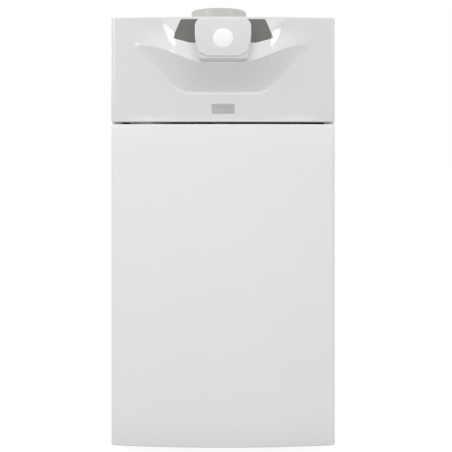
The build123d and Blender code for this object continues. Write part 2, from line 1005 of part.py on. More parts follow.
def control_box():
    near = front_y + box_setback
    high = casing_top - box_top_clearance
    box = block((-box_half, box_half), (near, near + box_depth), (rail_top, high))
    box -= block((box_wall - box_half, box_half - box_wall),
                 (near - overrun, near + box_depth - box_wall),
                 (rail_top + box_wall, high - box_wall))
    for x, z in board_post_places():
        start = (x, near + box_depth - box_wall, z)
        box += rod(start, front, board_post_radius, main_board_rise)
    return box


def board_post_places():
    x = box_half - box_wall - main_board_margin - board_post_radius
    low = rail_top + box_wall + main_board_margin + board_post_radius
    high = casing_top - box_top_clearance - box_wall - main_board_margin - board_post_radius
    return [(side, z) for side in mirrored(x) for z in (low, high)]


def main_board():
    back = front_y + box_setback + box_depth - box_wall - main_board_rise
    half = box_half - box_wall - main_board_margin
    low = rail_top + box_wall + main_board_margin
    high = casing_top - box_top_clearance - box_wall - main_board_margin
    board = block((-half, half), (back - board_thickness, back), (low, high))
    middle = (low + high) / 2
    for index in range(board_part_count):
        x = (index - (board_part_count - 1) / 2) * board_part_pitch
        for z in (middle - board_part_size, middle + board_part_size):
            board += block((x - board_part_size / 2, x + board_part_size / 2),
                           (back - board_thickness - board_part_height, back),
                           (z - board_part_size / 2, z + board_part_size / 2))
    return board


# Heat exchanger

def exchanger_shell():
    centre = (0, exchanger_y, exchanger_z)
    bore = exchanger_radius - exchanger_wall
    shell = tube(centre, rear, exchanger_radius, bore, exchanger_length)
    shell += rod((0, exchanger_end - exchanger_wall, exchanger_z), rear, exchanger_radius,
                 exchanger_wall)
    shell += tube(centre, front, exchanger_radius + exchanger_flange,
                  exchanger_mouth_radius, exchanger_flange_thickness)
    flue_bore = flue_radius - flue_wall
    shell -= rod((collar_x, collar_y, exchanger_z), up, flue_bore,
                 exchanger_radius + overrun)
    shell -= rod((0, exchanger_y + cock_setback, exchanger_z), down, cock_spout_bore,
                 exchanger_radius + overrun)
    shell -= rod((0, exchanger_y + trap_setback, exchanger_z), down,
                 trap_bore, exchanger_radius + overrun)
    for z in (exchanger_z + flow_rise, exchanger_z - return_fall):
        shell -= rod((water_pipe_x, exchanger_end - exchanger_wall - overrun, z), rear,
                     water_pipe_radius - water_pipe_wall, exchanger_wall + 2 * overrun)
    return shell


def exchanger_body():
    return rod((0, exchanger_y, exchanger_z), rear, exchanger_radius, exchanger_length)


def exchanger_coil():
    outer = exchanger_radius - exchanger_wall - coil_gap
    pitch = coil_turn_width + coil_groove
    start = exchanger_y + coil_start
    length = coil_turns * pitch - coil_groove
    drum_radius = outer - coil_drum_inset
    coil = tube((0, start, exchanger_z), rear, drum_radius,
                drum_radius - coil_drum_wall, length)
    for turn in range(coil_turns):
        coil += tube((0, start + turn * pitch, exchanger_z), rear, outer,
                     outer - coil_band, coil_turn_width)
    return coil


def exchanger_cradle():
    radius = exchanger_radius + cradle_gap
    top = exchanger_z - sqrt(radius**2 - cradle_half**2)
    saddles = []
    for y in (exchanger_y + cradle_front_inset, exchanger_end - cradle_rear_inset):
        saddle = block((-cradle_half, cradle_half), (y, y + cradle_thickness),
                       (tray_top, top))
        saddle += block((-cradle_half, cradle_half), (y, y + cradle_foot),
                        (tray_top, tray_top + cradle_thickness))
        saddles.append(saddle - rod((0, y - overrun, exchanger_z), rear, radius,
                                    cradle_foot + 2 * overrun))
    return group(saddles)


# Burner

def electrode_places():
    return [(electrode_x, exchanger_z + step * electrode_pitch) for step in (-0.5, 0.5)]


def electrode_holes():
    return [rod((x, burner_front - overrun, z), rear, electrode_ceramic_radius,
                burner_door_thickness + burner_pad_thickness + 2 * overrun)
            for x, z in electrode_places()]


def burner_door():
    door = rod((0, burner_front, exchanger_z), rear, burner_door_radius,
               burner_door_thickness)
    door -= rod((0, burner_front - overrun, exchanger_z), rear, burner_port_radius,
                burner_door_thickness + 2 * overrun)
    return door - electrode_holes()


def burner_door_nuts():
    nuts = []
    for turn in range(burner_nut_count):
        angle = radians(burner_nut_start + turn * 360 / burner_nut_count)
        spot = (burner_nut_circle * cos(angle), burner_front,
                exchanger_z + burner_nut_circle * sin(angle))
        nuts.append(nut(spot, front, burner_nut_radius, burner_nut_height))
    return group(nuts)


def burner_insulation():
    pad = tube((0, burner_face, exchanger_z), rear,
               exchanger_mouth_radius - burner_pad_gap, burner_radius + burner_pad_gap,
               burner_pad_thickness)
    return pad - electrode_holes()


def burner_tube():
    start = (0, burner_face, exchanger_z)
    burner = tube(start, rear, burner_radius, burner_bore, burner_length)
    end = (0, burner_face + burner_length, exchanger_z)
    return burner + rod(end, rear, burner_radius, burner_radius - burner_bore)


def electrodes():
    pieces = []
    for x, z in electrode_places():
        ceramic_length = (electrode_ceramic_front + burner_door_thickness
                          + burner_pad_thickness)
        piece = rod((x, burner_front - electrode_ceramic_front, z), rear,
                    electrode_ceramic_radius, ceramic_length)
        length = electrode_front + ceramic_length + electrode_reach
        piece += rod((x, burner_front - electrode_front, z), rear, electrode_radius, length)
        pieces.append(piece)
    return group(pieces)


def ignition_lead():
    start_y = front_y + lead_setback
    end_y = burner_front - lead_depth
    low = exchanger_z + electrode_pitch / 2 + electrode_ceramic_radius
    return bent_rod([
        (electrode_x, start_y, rail_top),
        (electrode_x, start_y, rail_top - lead_drop),
        (electrode_x, end_y, rail_top - lead_drop - lead_slope),
        (electrode_x, end_y, low),
    ], lead_bend, lead_radius)


# Fan, mixer and gas valve

def mixture_elbow():
    top = fan_z - fan_outlet_drop
    bore = burner_port_radius
    elbow = bent_tube([(0, burner_front, exchanger_z), (0, fan_y, exchanger_z),
                       (0, fan_y, top)], elbow_bend, elbow_radius, bore)
    elbow += tube((0, burner_front, exchanger_z), front, elbow_flange, bore,
                  elbow_flange_thickness)
    return elbow + tube((0, fan_y, top), down, elbow_flange, bore, elbow_flange_thickness)


def fan_housing():
    axis = (-fan_width / 2, fan_y, fan_z)
    outlet = (0, fan_y, fan_z - fan_outlet_drop)
    housing = rod(axis, right, fan_radius, fan_width)
    housing += rod(outlet, up, elbow_radius - fan_wall, fan_outlet_drop)
    housing += rod(outlet, up, elbow_flange, elbow_flange_thickness)
    room = rod((fan_wall - fan_width / 2, fan_y, fan_z), right, fan_radius - fan_wall,
               fan_width - 2 * fan_wall)
    throat = rod((0, fan_y, outlet[2] - overrun), up, elbow_radius - 2 * fan_wall,
                 fan_outlet_drop)
    housing = housing - room - throat
    housing -= rod((0, fan_y, fan_z), right, fan_inlet_radius, fan_width)
    return housing - rod((0, fan_y, fan_z), left, fan_shaft_radius + fan_shaft_gap, fan_width)


def fan_impeller():
    start = fan_wall - fan_width / 2 + impeller_side_gap
    width = fan_width - 2 * fan_wall - 2 * impeller_side_gap
    wheel = rod((start, fan_y, fan_z), right, impeller_radius, impeller_plate)
    wheel += tube((start + width - impeller_plate, fan_y, fan_z), right, impeller_radius,
                  impeller_eye_radius, impeller_plate)
    wheel += rod((start, fan_y, fan_z), right, impeller_hub_radius, impeller_hub_length)
    blade = block((start, start + width),
                  (-impeller_blade_thickness / 2, impeller_blade_thickness / 2),
                  (impeller_radius - impeller_blade_length, impeller_radius - impeller_plate))
    for turn in range(impeller_blades):
        wheel += Pos(0, fan_y, fan_z) * Rot(turn * 360 / impeller_blades, 0, 0) * blade
    shaft_length = start + fan_width / 2 + motor_bore_depth - fan_shaft_gap
    return wheel + rod((start, fan_y, fan_z), left, fan_shaft_radius, shaft_length)


def fan_motor():
    face = (-fan_width / 2, fan_y, fan_z)
    motor = rod(face, left, motor_radius, motor_length)
    return motor - rod(face, left, fan_shaft_radius + fan_shaft_gap, motor_bore_depth)


def gas_mixer():
    start = fan_width / 2
    middle = start + mixer_boss_x
    end = start + mixer_length
    profile = make_face(Polyline(
        (start, mixer_radius), (end, mixer_radius), (end, mixer_mouth),
        (middle, mixer_throat), (start, mixer_mouth), close=True))
    mixer = Pos(0, fan_y, fan_z) * revolve(profile, Axis.X)
    boss = block((middle - mixer_boss_half, middle + mixer_boss_half),
                 (fan_y - mixer_boss_half, fan_y + mixer_boss_half),
                 (fan_z - mixer_boss_drop, fan_z - mixer_mouth))
    mixer += boss
    return mixer - rod((middle, fan_y, fan_z), down, mixer_gas_bore,
                       mixer_boss_drop + overrun)


def intake_silencer():
    start = fan_width / 2 + mixer_length
    return tube((start, fan_y, fan_z), right, silencer_radius,
                silencer_radius - silencer_wall, silencer_length) + tube(
        (start, fan_y, fan_z), right, silencer_radius, mixer_mouth, silencer_wall)


def valve_top():
    return fan_z - mixer_boss_drop - valve_neck_height


def valve_x():
    return fan_width / 2 + mixer_boss_x


def gas_valve():
    x, top = valve_x(), valve_top()
    valve = block((x - valve_width / 2, x + valve_width / 2),
                  (fan_y - valve_depth / 2, fan_y + valve_depth / 2),
                  (top - valve_height, top))
    return valve + rod((x, fan_y, top), up, valve_neck_radius, valve_neck_height)


def gas_pipe():
    low = valve_top() - valve_height
    turn = low - gas_pipe_drop
    end = back_y + rear_reach
    bore = gas_pipe_radius - gas_pipe_wall
    pipe = bent_tube([
        (valve_x(), fan_y, low), (valve_x(), fan_y, turn), (gas_pipe_x, fan_y, turn),
        (gas_pipe_x, fan_y, gas_pipe_height), (gas_pipe_x, end, gas_pipe_height),
    ], gas_pipe_bend, gas_pipe_radius, bore)
    return pipe + tube((gas_pipe_x, end, gas_pipe_height), front, gas_thread_radius, bore,
                       thread_length)


# Water side

def water_pipe(z):
    end = back_y + rear_reach
    bore = water_pipe_radius - water_pipe_wall
    start = (water_pipe_x, exchanger_end, z)
    pipe = tube(start, rear, water_pipe_radius, bore, end - exchanger_end)
    pipe += tube((water_pipe_x, end, z), front, water_thread_radius, bore, thread_length)
    return pipe + (nut(start, rear, pipe_nut_radius, pipe_nut_length)
                   - rod(start, rear, bore, pipe_nut_length))


def condensate_trap():
    y = exchanger_y + trap_setback
    top = exchanger_z - exchanger_radius - trap_neck_length
    body_height = trap_height - trap_cup_height
    trap = rod((0, y, top), down, trap_radius, body_height)
    trap += rod((0, y, top - body_height), down, trap_cup_radius, trap_cup_height)
    trap += rod((0, y, top), up, trap_neck_radius, trap_neck_length + trap_neck_radius)
    return trap - exchanger_body()


def condensate_pipe():
    y = exchanger_y + trap_setback
    z = exchanger_z - exchanger_radius - trap_neck_length - trap_outlet_drop
    bore = condensate_radius - condensate_wall
    pipe = bent_tube([
        (0, y, z), (condensate_x, y, z), (condensate_x, y, condensate_height),
        (condensate_x, back_y + rear_reach, condensate_height),
    ], condensate_bend, condensate_radius, bore)
    bead = (condensate_x, back_y + rear_reach - condensate_spigot, condensate_height)
    pipe += tube(bead, front, condensate_bead_radius, bore, condensate_bead_width)
    return pipe - rod((0, y, z - trap_radius), up, trap_radius, 2 * trap_radius)


def cock_middle():
    return exchanger_y + cock_setback, exchanger_z - exchanger_radius - cock_pipe_length


def drain_cock():
    y, top = cock_middle()
    cock = block((-cock_width / 2, cock_width / 2), (y - cock_depth / 2, y + cock_depth / 2),
                 (top - cock_height, top))
    cock += rod((0, y, top), up, cock_pipe_radius, cock_pipe_length + cock_pipe_radius)
    cock += rod((0, y, top - cock_height), down, cock_spout_radius, cock_spout_length)
    cock -= rod((0, y, top - cock_height - cock_spout_length - overrun), up,
                cock_spout_bore, cock_spout_length + overrun)
    face = (0, y - cock_depth / 2 - overrun, top - cock_height / 2)
    cock -= rod(face, rear, cock_spindle_radius + cock_spindle_gap,
                cock_spindle_depth + overrun + cock_spindle_gap)
    return cock - exchanger_body()


def drain_lever():
    y, top = cock_middle()
    face = y - cock_depth / 2
    z = top - cock_height / 2
    start = face - cock_spindle_reach
    lever = rod((0, start, z), rear, cock_spindle_radius,
                cock_spindle_reach + cock_spindle_depth)
    lever += rod((0, start, z), front, cock_lever_width, cock_lever_thickness)
    return lever + block((0, cock_lever_length), (start - cock_lever_thickness, start),
                         (z - cock_lever_width / 2, z + cock_lever_width / 2))


# Pressure gauge

def gauge_centre():
    return gauge_x, frame_y, door_top - gauge_drop


def pressure_gauge():
    x, y, z = gauge_centre()
    gauge = rod((x, y, z), rear, gauge_radius, gauge_depth)
    gauge -= rod((x, y - overrun, z), rear, gauge_radius - gauge_wall,
                 gauge_dial_depth + overrun)
    gauge += rod((x, y + gauge_depth, z), rear, gauge_stem_radius, gauge_stem_length)
    return gauge - rod((x, y + gauge_dial_depth - overrun, z), rear,
                       needle_shaft_radius + needle_shaft_gap,
                       needle_shaft_depth + overrun + needle_shaft_gap)


def gauge_glass():
    x, y, z = gauge_centre()
    return rod((x, y + gauge_glass_seat, z), rear, gauge_radius - gauge_wall,
               gauge_glass_thickness)


def gauge_needle():
    x, y, z = gauge_centre()
    front_face = y + gauge_dial_depth - needle_rise - needle_thickness
    bar = block((-needle_width / 2, needle_width / 2), (0, needle_thickness),
                (-needle_tail, needle_length))
    needle = Pos(x, front_face, z) * Rot(0, needle_rest, 0) * bar
    needle += rod((x, front_face, z), rear, needle_hub_radius, needle_thickness)
    return needle + rod((x, front_face, z), rear, needle_shaft_radius,
                        needle_thickness + needle_rise + needle_shaft_depth)


# Flue

def turned(points, x, y):
    profile = Plane.XZ * make_face(Polyline(*points, close=True))
    return Pos(x, y, 0) * revolve(profile, Axis.Z)


def socket_outer():
    return flue_radius + flue_gap + socket_wall


def flue_collar():
    base = casing_top
    collar = turned((
        (collar_bore, base), (collar_flange_radius, base),
        (collar_flange_radius, base + collar_flange_thickness),
        (collar_foot_radius, base + collar_flange_thickness),
        (collar_radius, base + collar_foot_height),
        (collar_radius, collar_top - collar_shoulder),
        (collar_radius - collar_shoulder, collar_top),
        (collar_bore, collar_top)), collar_x, collar_y)
    rib = block((socket_outer(), collar_bore + rib_bite),
                (-rib_thickness / 2, rib_thickness / 2),
                (base + rib_rise, base + rib_rise + rib_height))
    rib -= rod((0, 0, base), up, socket_outer(), collar_height)
    for turn in range(rib_count):
        collar += Pos(collar_x, collar_y, 0) * Rot(0, 0, turn * 360 / rib_count) * rib
    return collar - screw_shanks()


def flue_socket():
    outer = socket_outer()
    bore = flue_radius + flue_gap
    stop_top = socket_top - socket_depth
    stop_low = stop_top - socket_stop
    return turned((
        (bore, socket_bottom), (outer, socket_bottom), (outer, socket_top),
        (bore, socket_top), (bore, stop_top), (flue_radius - flue_wall, stop_top),
        (flue_radius - flue_wall, stop_low), (bore, stop_low)), collar_x, collar_y)


def flue_duct():
    top = socket_top - socket_depth - socket_stop
    start = exchanger_z + exchanger_radius / 2
    duct = tube((collar_x, collar_y, start), up, flue_radius, flue_radius - flue_wall,
                top - start)
    return duct - exchanger_body()


def make_parts():
    shell = hood_solid() - hood_hollow()
    panel = side_panel()
    pieces = {
        "hood": hood(shell),
        "display_fascia": display_fascia(shell),
        "side_panel_right": panel,
        "side_panel_left": mirror(panel, about=Plane.YZ),
        "flow_pipe": water_pipe(exchanger_z + flow_rise),
        "return_pipe": water_pipe(exchanger_z - return_fall),
    }
    for name, x in zip(button_names, button_places()):
        pieces["button_" + name] = button(x)
    for name, place in foot_places().items():
        pieces["foot_" + name] = foot(*place)
    for make in (
        display_lens, display_board, badge_plate, control_flap, flap_hinge_pin, flap_disc,
        power_switch, rear_panel, top_panel, base_tray, upper_rail, front_door,
        door_insulation, door_inner_pan, door_pivot_pins, casing_screws, control_box,
        main_board, cable_glands, exchanger_shell, exchanger_coil, exchanger_cradle,
        burner_door, burner_door_nuts, burner_insulation, burner_tube, electrodes,
        ignition_lead, mixture_elbow, fan_housing, fan_impeller, fan_motor, gas_mixer,
        intake_silencer, gas_valve, gas_pipe, condensate_trap, condensate_pipe, drain_cock,
        drain_lever, pressure_gauge, gauge_glass, gauge_needle, flue_collar, flue_socket,
        flue_duct,
    ):
        pieces[make.__name__] = make()
    return pieces


os.makedirs("parts", exist_ok=True)
for name, piece in make_parts().items():
    export_step(piece, f"parts/{name}.step")
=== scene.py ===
import bpy
import bmesh
import json
from math import cos, exp, pi, radians, sin, sqrt, tan
from mathutils import Matrix, Quaternion, Vector

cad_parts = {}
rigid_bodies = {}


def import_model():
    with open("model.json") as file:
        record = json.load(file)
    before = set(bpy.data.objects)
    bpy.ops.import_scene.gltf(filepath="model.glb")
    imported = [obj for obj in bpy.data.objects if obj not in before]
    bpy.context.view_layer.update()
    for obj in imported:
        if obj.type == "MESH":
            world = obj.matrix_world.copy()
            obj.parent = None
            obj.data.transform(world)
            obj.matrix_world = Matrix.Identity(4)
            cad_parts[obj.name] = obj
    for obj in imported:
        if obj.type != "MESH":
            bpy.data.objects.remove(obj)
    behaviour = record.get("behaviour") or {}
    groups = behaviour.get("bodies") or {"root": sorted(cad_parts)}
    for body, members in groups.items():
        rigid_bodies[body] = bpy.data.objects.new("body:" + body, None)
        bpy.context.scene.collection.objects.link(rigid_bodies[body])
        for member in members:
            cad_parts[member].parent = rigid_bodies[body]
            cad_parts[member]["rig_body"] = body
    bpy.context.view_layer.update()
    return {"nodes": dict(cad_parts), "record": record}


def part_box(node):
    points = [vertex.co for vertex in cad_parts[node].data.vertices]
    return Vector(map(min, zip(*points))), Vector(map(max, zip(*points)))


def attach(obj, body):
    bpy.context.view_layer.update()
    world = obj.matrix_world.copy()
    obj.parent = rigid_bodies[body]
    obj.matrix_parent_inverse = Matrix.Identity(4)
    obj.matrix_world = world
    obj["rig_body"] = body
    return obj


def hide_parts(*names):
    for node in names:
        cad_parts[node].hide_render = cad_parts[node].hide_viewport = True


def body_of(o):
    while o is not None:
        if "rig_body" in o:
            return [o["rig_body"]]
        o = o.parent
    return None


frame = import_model()
nodes = frame["nodes"]

# Everything is in metres, +Z up, and the boiler's front faces -Y
casing = {
    "bow": 0.0145,
    "returnDepth": 0.025,
    "cornerRadius": 0.0085,
    "edgeRound": 0.0024,
    "cornerSteps": 6,
    "edgeSegments": 4,
}
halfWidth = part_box("side_panel_right")[1].x
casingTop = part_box("hood")[1].z
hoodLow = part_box("hood")[0].z
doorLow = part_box("front_door")[0].z
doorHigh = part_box("front_door")[1].z
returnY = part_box("front_door")[1].y
edgeY = returnY - casing["returnDepth"]  # where the bowed front meets its side edges
bowRadius = (halfWidth ** 2 + casing["bow"] ** 2) / (2 * casing["bow"])


# Shader tools: Signal wraps a socket, Finish makes the nodes of a material or world

class Signal:
    def __init__(self, finish, socket):
        self.finish = finish
        self.socket = socket

    def math(self, operation, first, second):
        return self.finish.node("Math", {"operation": operation}, {0: first, 1: second})

    def __add__(self, other):
        return self.math("ADD", self, other)

    def __radd__(self, other):
        return self.math("ADD", other, self)

    def __mul__(self, other):
        return self.math("MULTIPLY", self, other)

    def __rmul__(self, other):
        return self.math("MULTIPLY", other, self)


class Finish:
    def __init__(self, owner):
        self.owner = owner
        owner.use_nodes = True
        self.tree = owner.node_tree
        self.tree.nodes.clear()

    def node(self, kind, settings=None, values=None, output=0):
        made = self.tree.nodes.new("ShaderNode" + kind)
        for name, value in (settings or {}).items():
            if name == "stops":
                ramp = made.color_ramp
                ramp.elements.remove(ramp.elements[1])
                ramp.elements[0].position = value[0][0]
                ramp.elements[0].color = value[0][1]
                for place, colour in value[1:]:
                    ramp.elements.new(place).color = colour
            else:
                setattr(made, name, value)
        for name, value in (values or {}).items():
            if isinstance(value, Signal):
                self.tree.links.new(value.socket, made.inputs[name])
            else:
                made.inputs[name].default_value = value
        return Signal(self, made.outputs[output]) if made.outputs else None

    def place(self, scale=(1, 1, 1), turn=(0, 0, 0)):
        spot = self.node("TexCoord", output="Object")
        return self.node("Mapping", values={"Vector": spot, "Scale": scale, "Rotation": turn})

    def noise(self, scale, detail, stretch=(1, 1, 1)):
        return self.node("TexNoise", values={
            "Vector": self.place(stretch), "Scale": scale, "Detail": detail})

    def ramp(self, value, stops):
        return self.node("ValToRGB", {"stops": stops}, {"Fac": value})

    def blend(self, factor, first, second):
        return self.node("Mix", {"data_type": "RGBA"}, {0: factor, 6: first, 7: second},
                         output=2)

    def bump(self, height, distance, strength):
        return self.node("Bump", values={
            "Height": height, "Distance": distance, "Strength": strength})

    def close(self, **values):
        names = {name.replace("_", " "): value for name, value in values.items()}
        shader = self.node("BsdfPrincipled", values=names)
        self.node("OutputMaterial", values={"Surface": shader})
        return self.owner


def tone(grey, tint=(1, 1, 1)):
    return (grey * tint[0], grey * tint[1], grey * tint[2], 1)


def newFinish(name):
    return Finish(bpy.data.materials.new(name))


def tones(grey, tint, low, high):
    return tone(grey * low, tint), tone(grey * high, tint)


# Materials: a broad noise for the colour and a fine one for roughness and relief

def surface(name, colours, broad, fine, rough, relief=None, spread=None, **rest):
    finish = newFinish(name)
    wave = finish.noise(*broad)
    grain = finish.noise(*fine) if fine else wave
    if spread:
        shade = finish.ramp(wave, tuple(zip(spread, colours)))
    else:
        shade = finish.blend(wave, *colours)
    if relief:
        rest["Normal"] = finish.bump(grain, *relief)
    return finish.close(Base_Color=shade, Roughness=rough[0] + grain * rough[1], **rest)


def glossMoulding(name, grey, tint, roughness, coat):
    return surface(name, tones(grey, tint, 0.99, 1.01), (9, 1), (1500, 2), (roughness, 0.05),
                   (0.00001, 0.4), IOR=1.5, Coat_Weight=coat, Coat_Roughness=0.06)


def mouldedPlastic(name, colour, roughness=0.5):
    return surface(name, (tone(0.92, colour), tone(1.06, colour)), (25, 2), (1100, 3),
                   (roughness, 0.12), (0.00006, 0.6))


def enamel(name, colour, roughness=0.25):
    return surface(name, (tone(0.88, colour), tone(1, colour)), (60, 3), None,
                   (roughness, 0.1), Coat_Weight=0.4)


def clearPane(name, tint):
    finish = newFinish(name)
    haze = finish.noise(60, 2)
    return finish.close(Base_Color=tint, Roughness=0.02 + haze * 0.03, IOR=1.49,
                        Transmission_Weight=1.0)


def galvanisedSteel():
    finish = newFinish("galvanisedSteel")
    flakes = finish.node("TexVoronoi", {"feature": "F1"},
                         {"Vector": finish.place(), "Scale": 130.0}, output="Color")
    value = finish.node("RGBToBW", values={"Color": flakes})
    cloud = finish.noise(14, 3)
    shade = finish.ramp(value * 0.7 + cloud * 0.3, (
        (0.15, tone(0.42, (0.97, 1, 1.03))), (0.85, tone(0.66, (0.97, 1, 1.03)))))
    return finish.close(Base_Color=shade, Metallic=0.9, Roughness=0.34 + value * 0.16,
                        Normal=finish.bump(value, 0.00003, 0.4))


def circuitBoard():
    finish = newFinish("circuitBoard")
    tracks = finish.node("TexBrick", values={
        "Vector": finish.place((1, 1, 1), (pi / 2, 0, 0)), "Scale": 60.0, "Mortar Size": 0.05,
        "Color1": (0.03, 0.20, 0.10, 1), "Color2": (0.03, 0.17, 0.09, 1),
        "Mortar": (0.10, 0.33, 0.17, 1)})
    cloud = finish.noise(35, 2)
    return finish.close(Base_Color=tracks, Roughness=0.3 + cloud * 0.1)


finishes = {
    "white_paint": surface(
        "whitePaint", tones(0.865, (1.0, 1.0, 0.995), 0.985, 1.015), (7, 2), (900, 2),
        (0.34, 0.08), (0.00003, 0.6), IOR=1.45),
    "white_moulding": glossMoulding("whiteMoulding", 0.765, (1.0, 0.995, 0.995), 0.13, 0.3),
    "flap_white": glossMoulding("flapWhite", 0.71, (0.995, 1.0, 1.0), 0.1, 0.5),
    "disc_white": glossMoulding("discWhite", 0.94, (1, 1, 1), 0.2, 0.2),
    "collar_grey": glossMoulding("collarGrey", 0.495, (1.0, 0.995, 0.95), 0.36, 0.0),
    "smoked": surface(
        "smokedPanel", ((0.104, 0.104, 0.090, 1), (0.126, 0.127, 0.113, 1)), (12, 1), (420, 4),
        (0.08, 0.05), IOR=1.55, Coat_Weight=0.8, Coat_Roughness=0.05),
    "satin_plate": surface(
        "satinPlate", tones(0.325, (1, 1, 0.975), 0.86, 1.1), (240, 4, (0.04, 1, 1)), None,
        (0.32, 0.15), (0.00002, 0.5), (0.3, 0.7), Metallic=0.85),
    "galvanised": galvanisedSteel(),
    "zinc": surface(
        "zincPlate", ((0.60, 0.61, 0.63, 1), (0.74, 0.73, 0.68, 1)), (90, 3), None,
        (0.24, 0.14), None, (0.3, 0.7), Metallic=1.0),
    "stainless": surface(
        "stainlessSteel", ((0.60, 0.59, 0.57, 1), (0.70, 0.70, 0.70, 1)), (6, 2),
        (160, 4, (0.15, 1, 1)), (0.2, 0.18), (0.00002, 0.4), Metallic=1.0),
    "cast_aluminium": surface(
        "castAluminium", (tone(0.52), tone(0.68)), (20, 3), (520, 5), (0.4, 0.2),
        (0.00012, 0.7), (0.25, 0.8), Metallic=0.9),
    "brass": surface(
        "machinedBrass", ((0.62, 0.43, 0.16, 1), (0.76, 0.57, 0.27, 1)), (300, 3, (1, 1, 0.1)),
        None, (0.22, 0.15), None, (0.3, 0.7), Metallic=1.0),
    "black_plastic": mouldedPlastic("blackPlastic", (0.035, 0.035, 0.038)),
    "grey_plastic": mouldedPlastic("greyPlastic", (0.20, 0.21, 0.22)),
    "light_plastic": mouldedPlastic("lightPlastic", (0.70, 0.70, 0.68), 0.35),
    "lead_rubber": mouldedPlastic("leadRubber", (0.30, 0.04, 0.02)),
    "screen": mouldedPlastic("screen", (0.42, 0.47, 0.40), 0.3),
    "screen_ink": mouldedPlastic("screenInk", (0.03, 0.04, 0.04), 0.4),
    "circuit": circuitBoard(),
    "insulation": surface(
        "fibreBoard", ((0.62, 0.60, 0.54, 1), (0.80, 0.78, 0.73, 1)), (260, 6, (1, 1, 3)), None,
        (0.85, 0.1), (0.0006, 0.8), (0.3, 0.7)),
    "lens": clearPane("displayLens", (0.55, 0.6, 0.58, 1)),
    "gauge_glass": clearPane("gaugeGlass", (0.97, 0.99, 1.0, 1)),
    "red_enamel": enamel("redEnamel", (0.55, 0.03, 0.025)),
    "yellow_paint": enamel("yellowPaint", (0.72, 0.50, 0.04), 0.35),
}
print("materials made:", len(finishes))

slotOf = {part["node"]: part["material_slot"] for part in frame["record"]["subparts"]}
for name, piece in nodes.items():
    piece.data.materials.clear()
    piece.data.materials.append(finishes[slotOf[name]])


# Mesh tools

meshShape = {
    "same": 1e-6, "smoothAngle": 35, "sharpAngle": radians(60), "cornerSegments": 8,
}


def smoothStep(low, high, value):
    share = min(max((value - low) / (high - low), 0), 1)
    return share * share * (3 - 2 * share)


def at(spot, turn=0, axis="Z"):
    return Matrix.Translation(spot) @ Matrix.Rotation(turn, 4, axis)


def arcPoints(x, y, radius, start, sweep, steps):
    angles = [start + sweep * step / steps for step in range(steps + 1)]
    return [(x + radius * cos(angle), y + radius * sin(angle)) for angle in angles]


def softMin(first, second, width):
    near = max(width - abs(first - second), 0) / width
    return min(first, second) - near * near * width / 4


def softMax(first, second, width):
    return -softMin(-first, -second, width)


def addModifier(piece, kind, **settings):
    modifier = piece.modifiers.new(kind.lower(), kind)
    for name, value in settings.items():
        setattr(modifier, name, value)


def dataFrom(mesh, name):
    data = bpy.data.meshes.new(name)
    mesh.to_mesh(data)
    mesh.free()
    return data


def addPiece(name, mesh, body, slot, replaced=(), angle=meshShape["smoothAngle"], tidy=True):
    if tidy:
        bmesh.ops.remove_doubles(mesh, verts=mesh.verts, dist=meshShape["same"])
        bmesh.ops.recalc_face_normals(mesh, faces=mesh.faces)
    data = dataFrom(mesh, name)
    for face in data.polygons:
        face.use_smooth = True
    data.set_sharp_from_angle(angle=radians(angle))
    data.materials.append(finishes[slot])
    piece = bpy.data.objects.new(name, data)
    bpy.context.scene.collection.objects.link(piece)
    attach(piece, body)
    if replaced:
        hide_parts(*replaced)
    return piece


def roundSharp(piece, width, segments):
    addModifier(piece, "BEVEL", width=width, segments=segments, limit_method="ANGLE",
                angle_limit=meshShape["sharpAngle"])


def bevelEdges(mesh, edges, width, segments):
    return bmesh.ops.bevel(mesh, geom=edges, offset=width, offset_type="OFFSET",
                           segments=segments, profile=0.5, affect="EDGES", material=-1,
                           clamp_overlap=True)


def roundCorners(mesh, corners, radius, segments=meshShape["cornerSegments"]):
    bmesh.ops.bevel(mesh, geom=corners, offset=radius, offset_type="OFFSET",
                    segments=segments, profile=0.5, affect="VERTICES", material=-1)


def newVerts(result):
    return [item for item in result["geom"] if isinstance(item, bmesh.types.BMVert)]


def thicken(mesh, faces, width):
    grown = newVerts(bmesh.ops.extrude_face_region(mesh, geom=faces))
    bmesh.ops.translate(mesh, vec=(width, 0, 0), verts=grown)


def cutThrough(mesh, point, normal, **settings):
    bmesh.ops.bisect_plane(mesh, geom=[*mesh.verts, *mesh.edges, *mesh.faces],
                           dist=meshShape["same"], plane_co=point, plane_no=normal, **settings)


def spun(points, centre, axis, steps, closed=True):
    mesh = bmesh.new()
    along = Vector(axis)
    side = along.orthogonal().normalized()
    ring = [mesh.verts.new(Vector(centre) + side * radius + along * height)
            for radius, height in points]
    edges = [mesh.edges.new(pair) for pair in zip(ring, ring[1:] + ring[:1] * closed)]
    bmesh.ops.spin(mesh, geom=ring + edges, cent=centre, axis=along, angle=2 * pi,
                   steps=steps, use_merge=True)
    bmesh.ops.recalc_face_normals(mesh, faces=mesh.faces)
    return mesh


def addBlock(mesh, low, high, turn):
    low, high = Vector(low), Vector(high)
    size = high - low
    bmesh.ops.create_cube(mesh, size=1, matrix=turn @ Matrix.Translation((low + high) / 2)
                          @ Matrix.Diagonal((size.x, size.y, size.z, 1)))


def joined(meshes):
    whole = bmesh.new()
    for mesh in meshes:
        data = dataFrom(mesh, "joinedPart")
        whole.from_mesh(data)
        bpy.data.meshes.remove(data)
    return whole


# CAD pieces that keep their shape and get soft edges

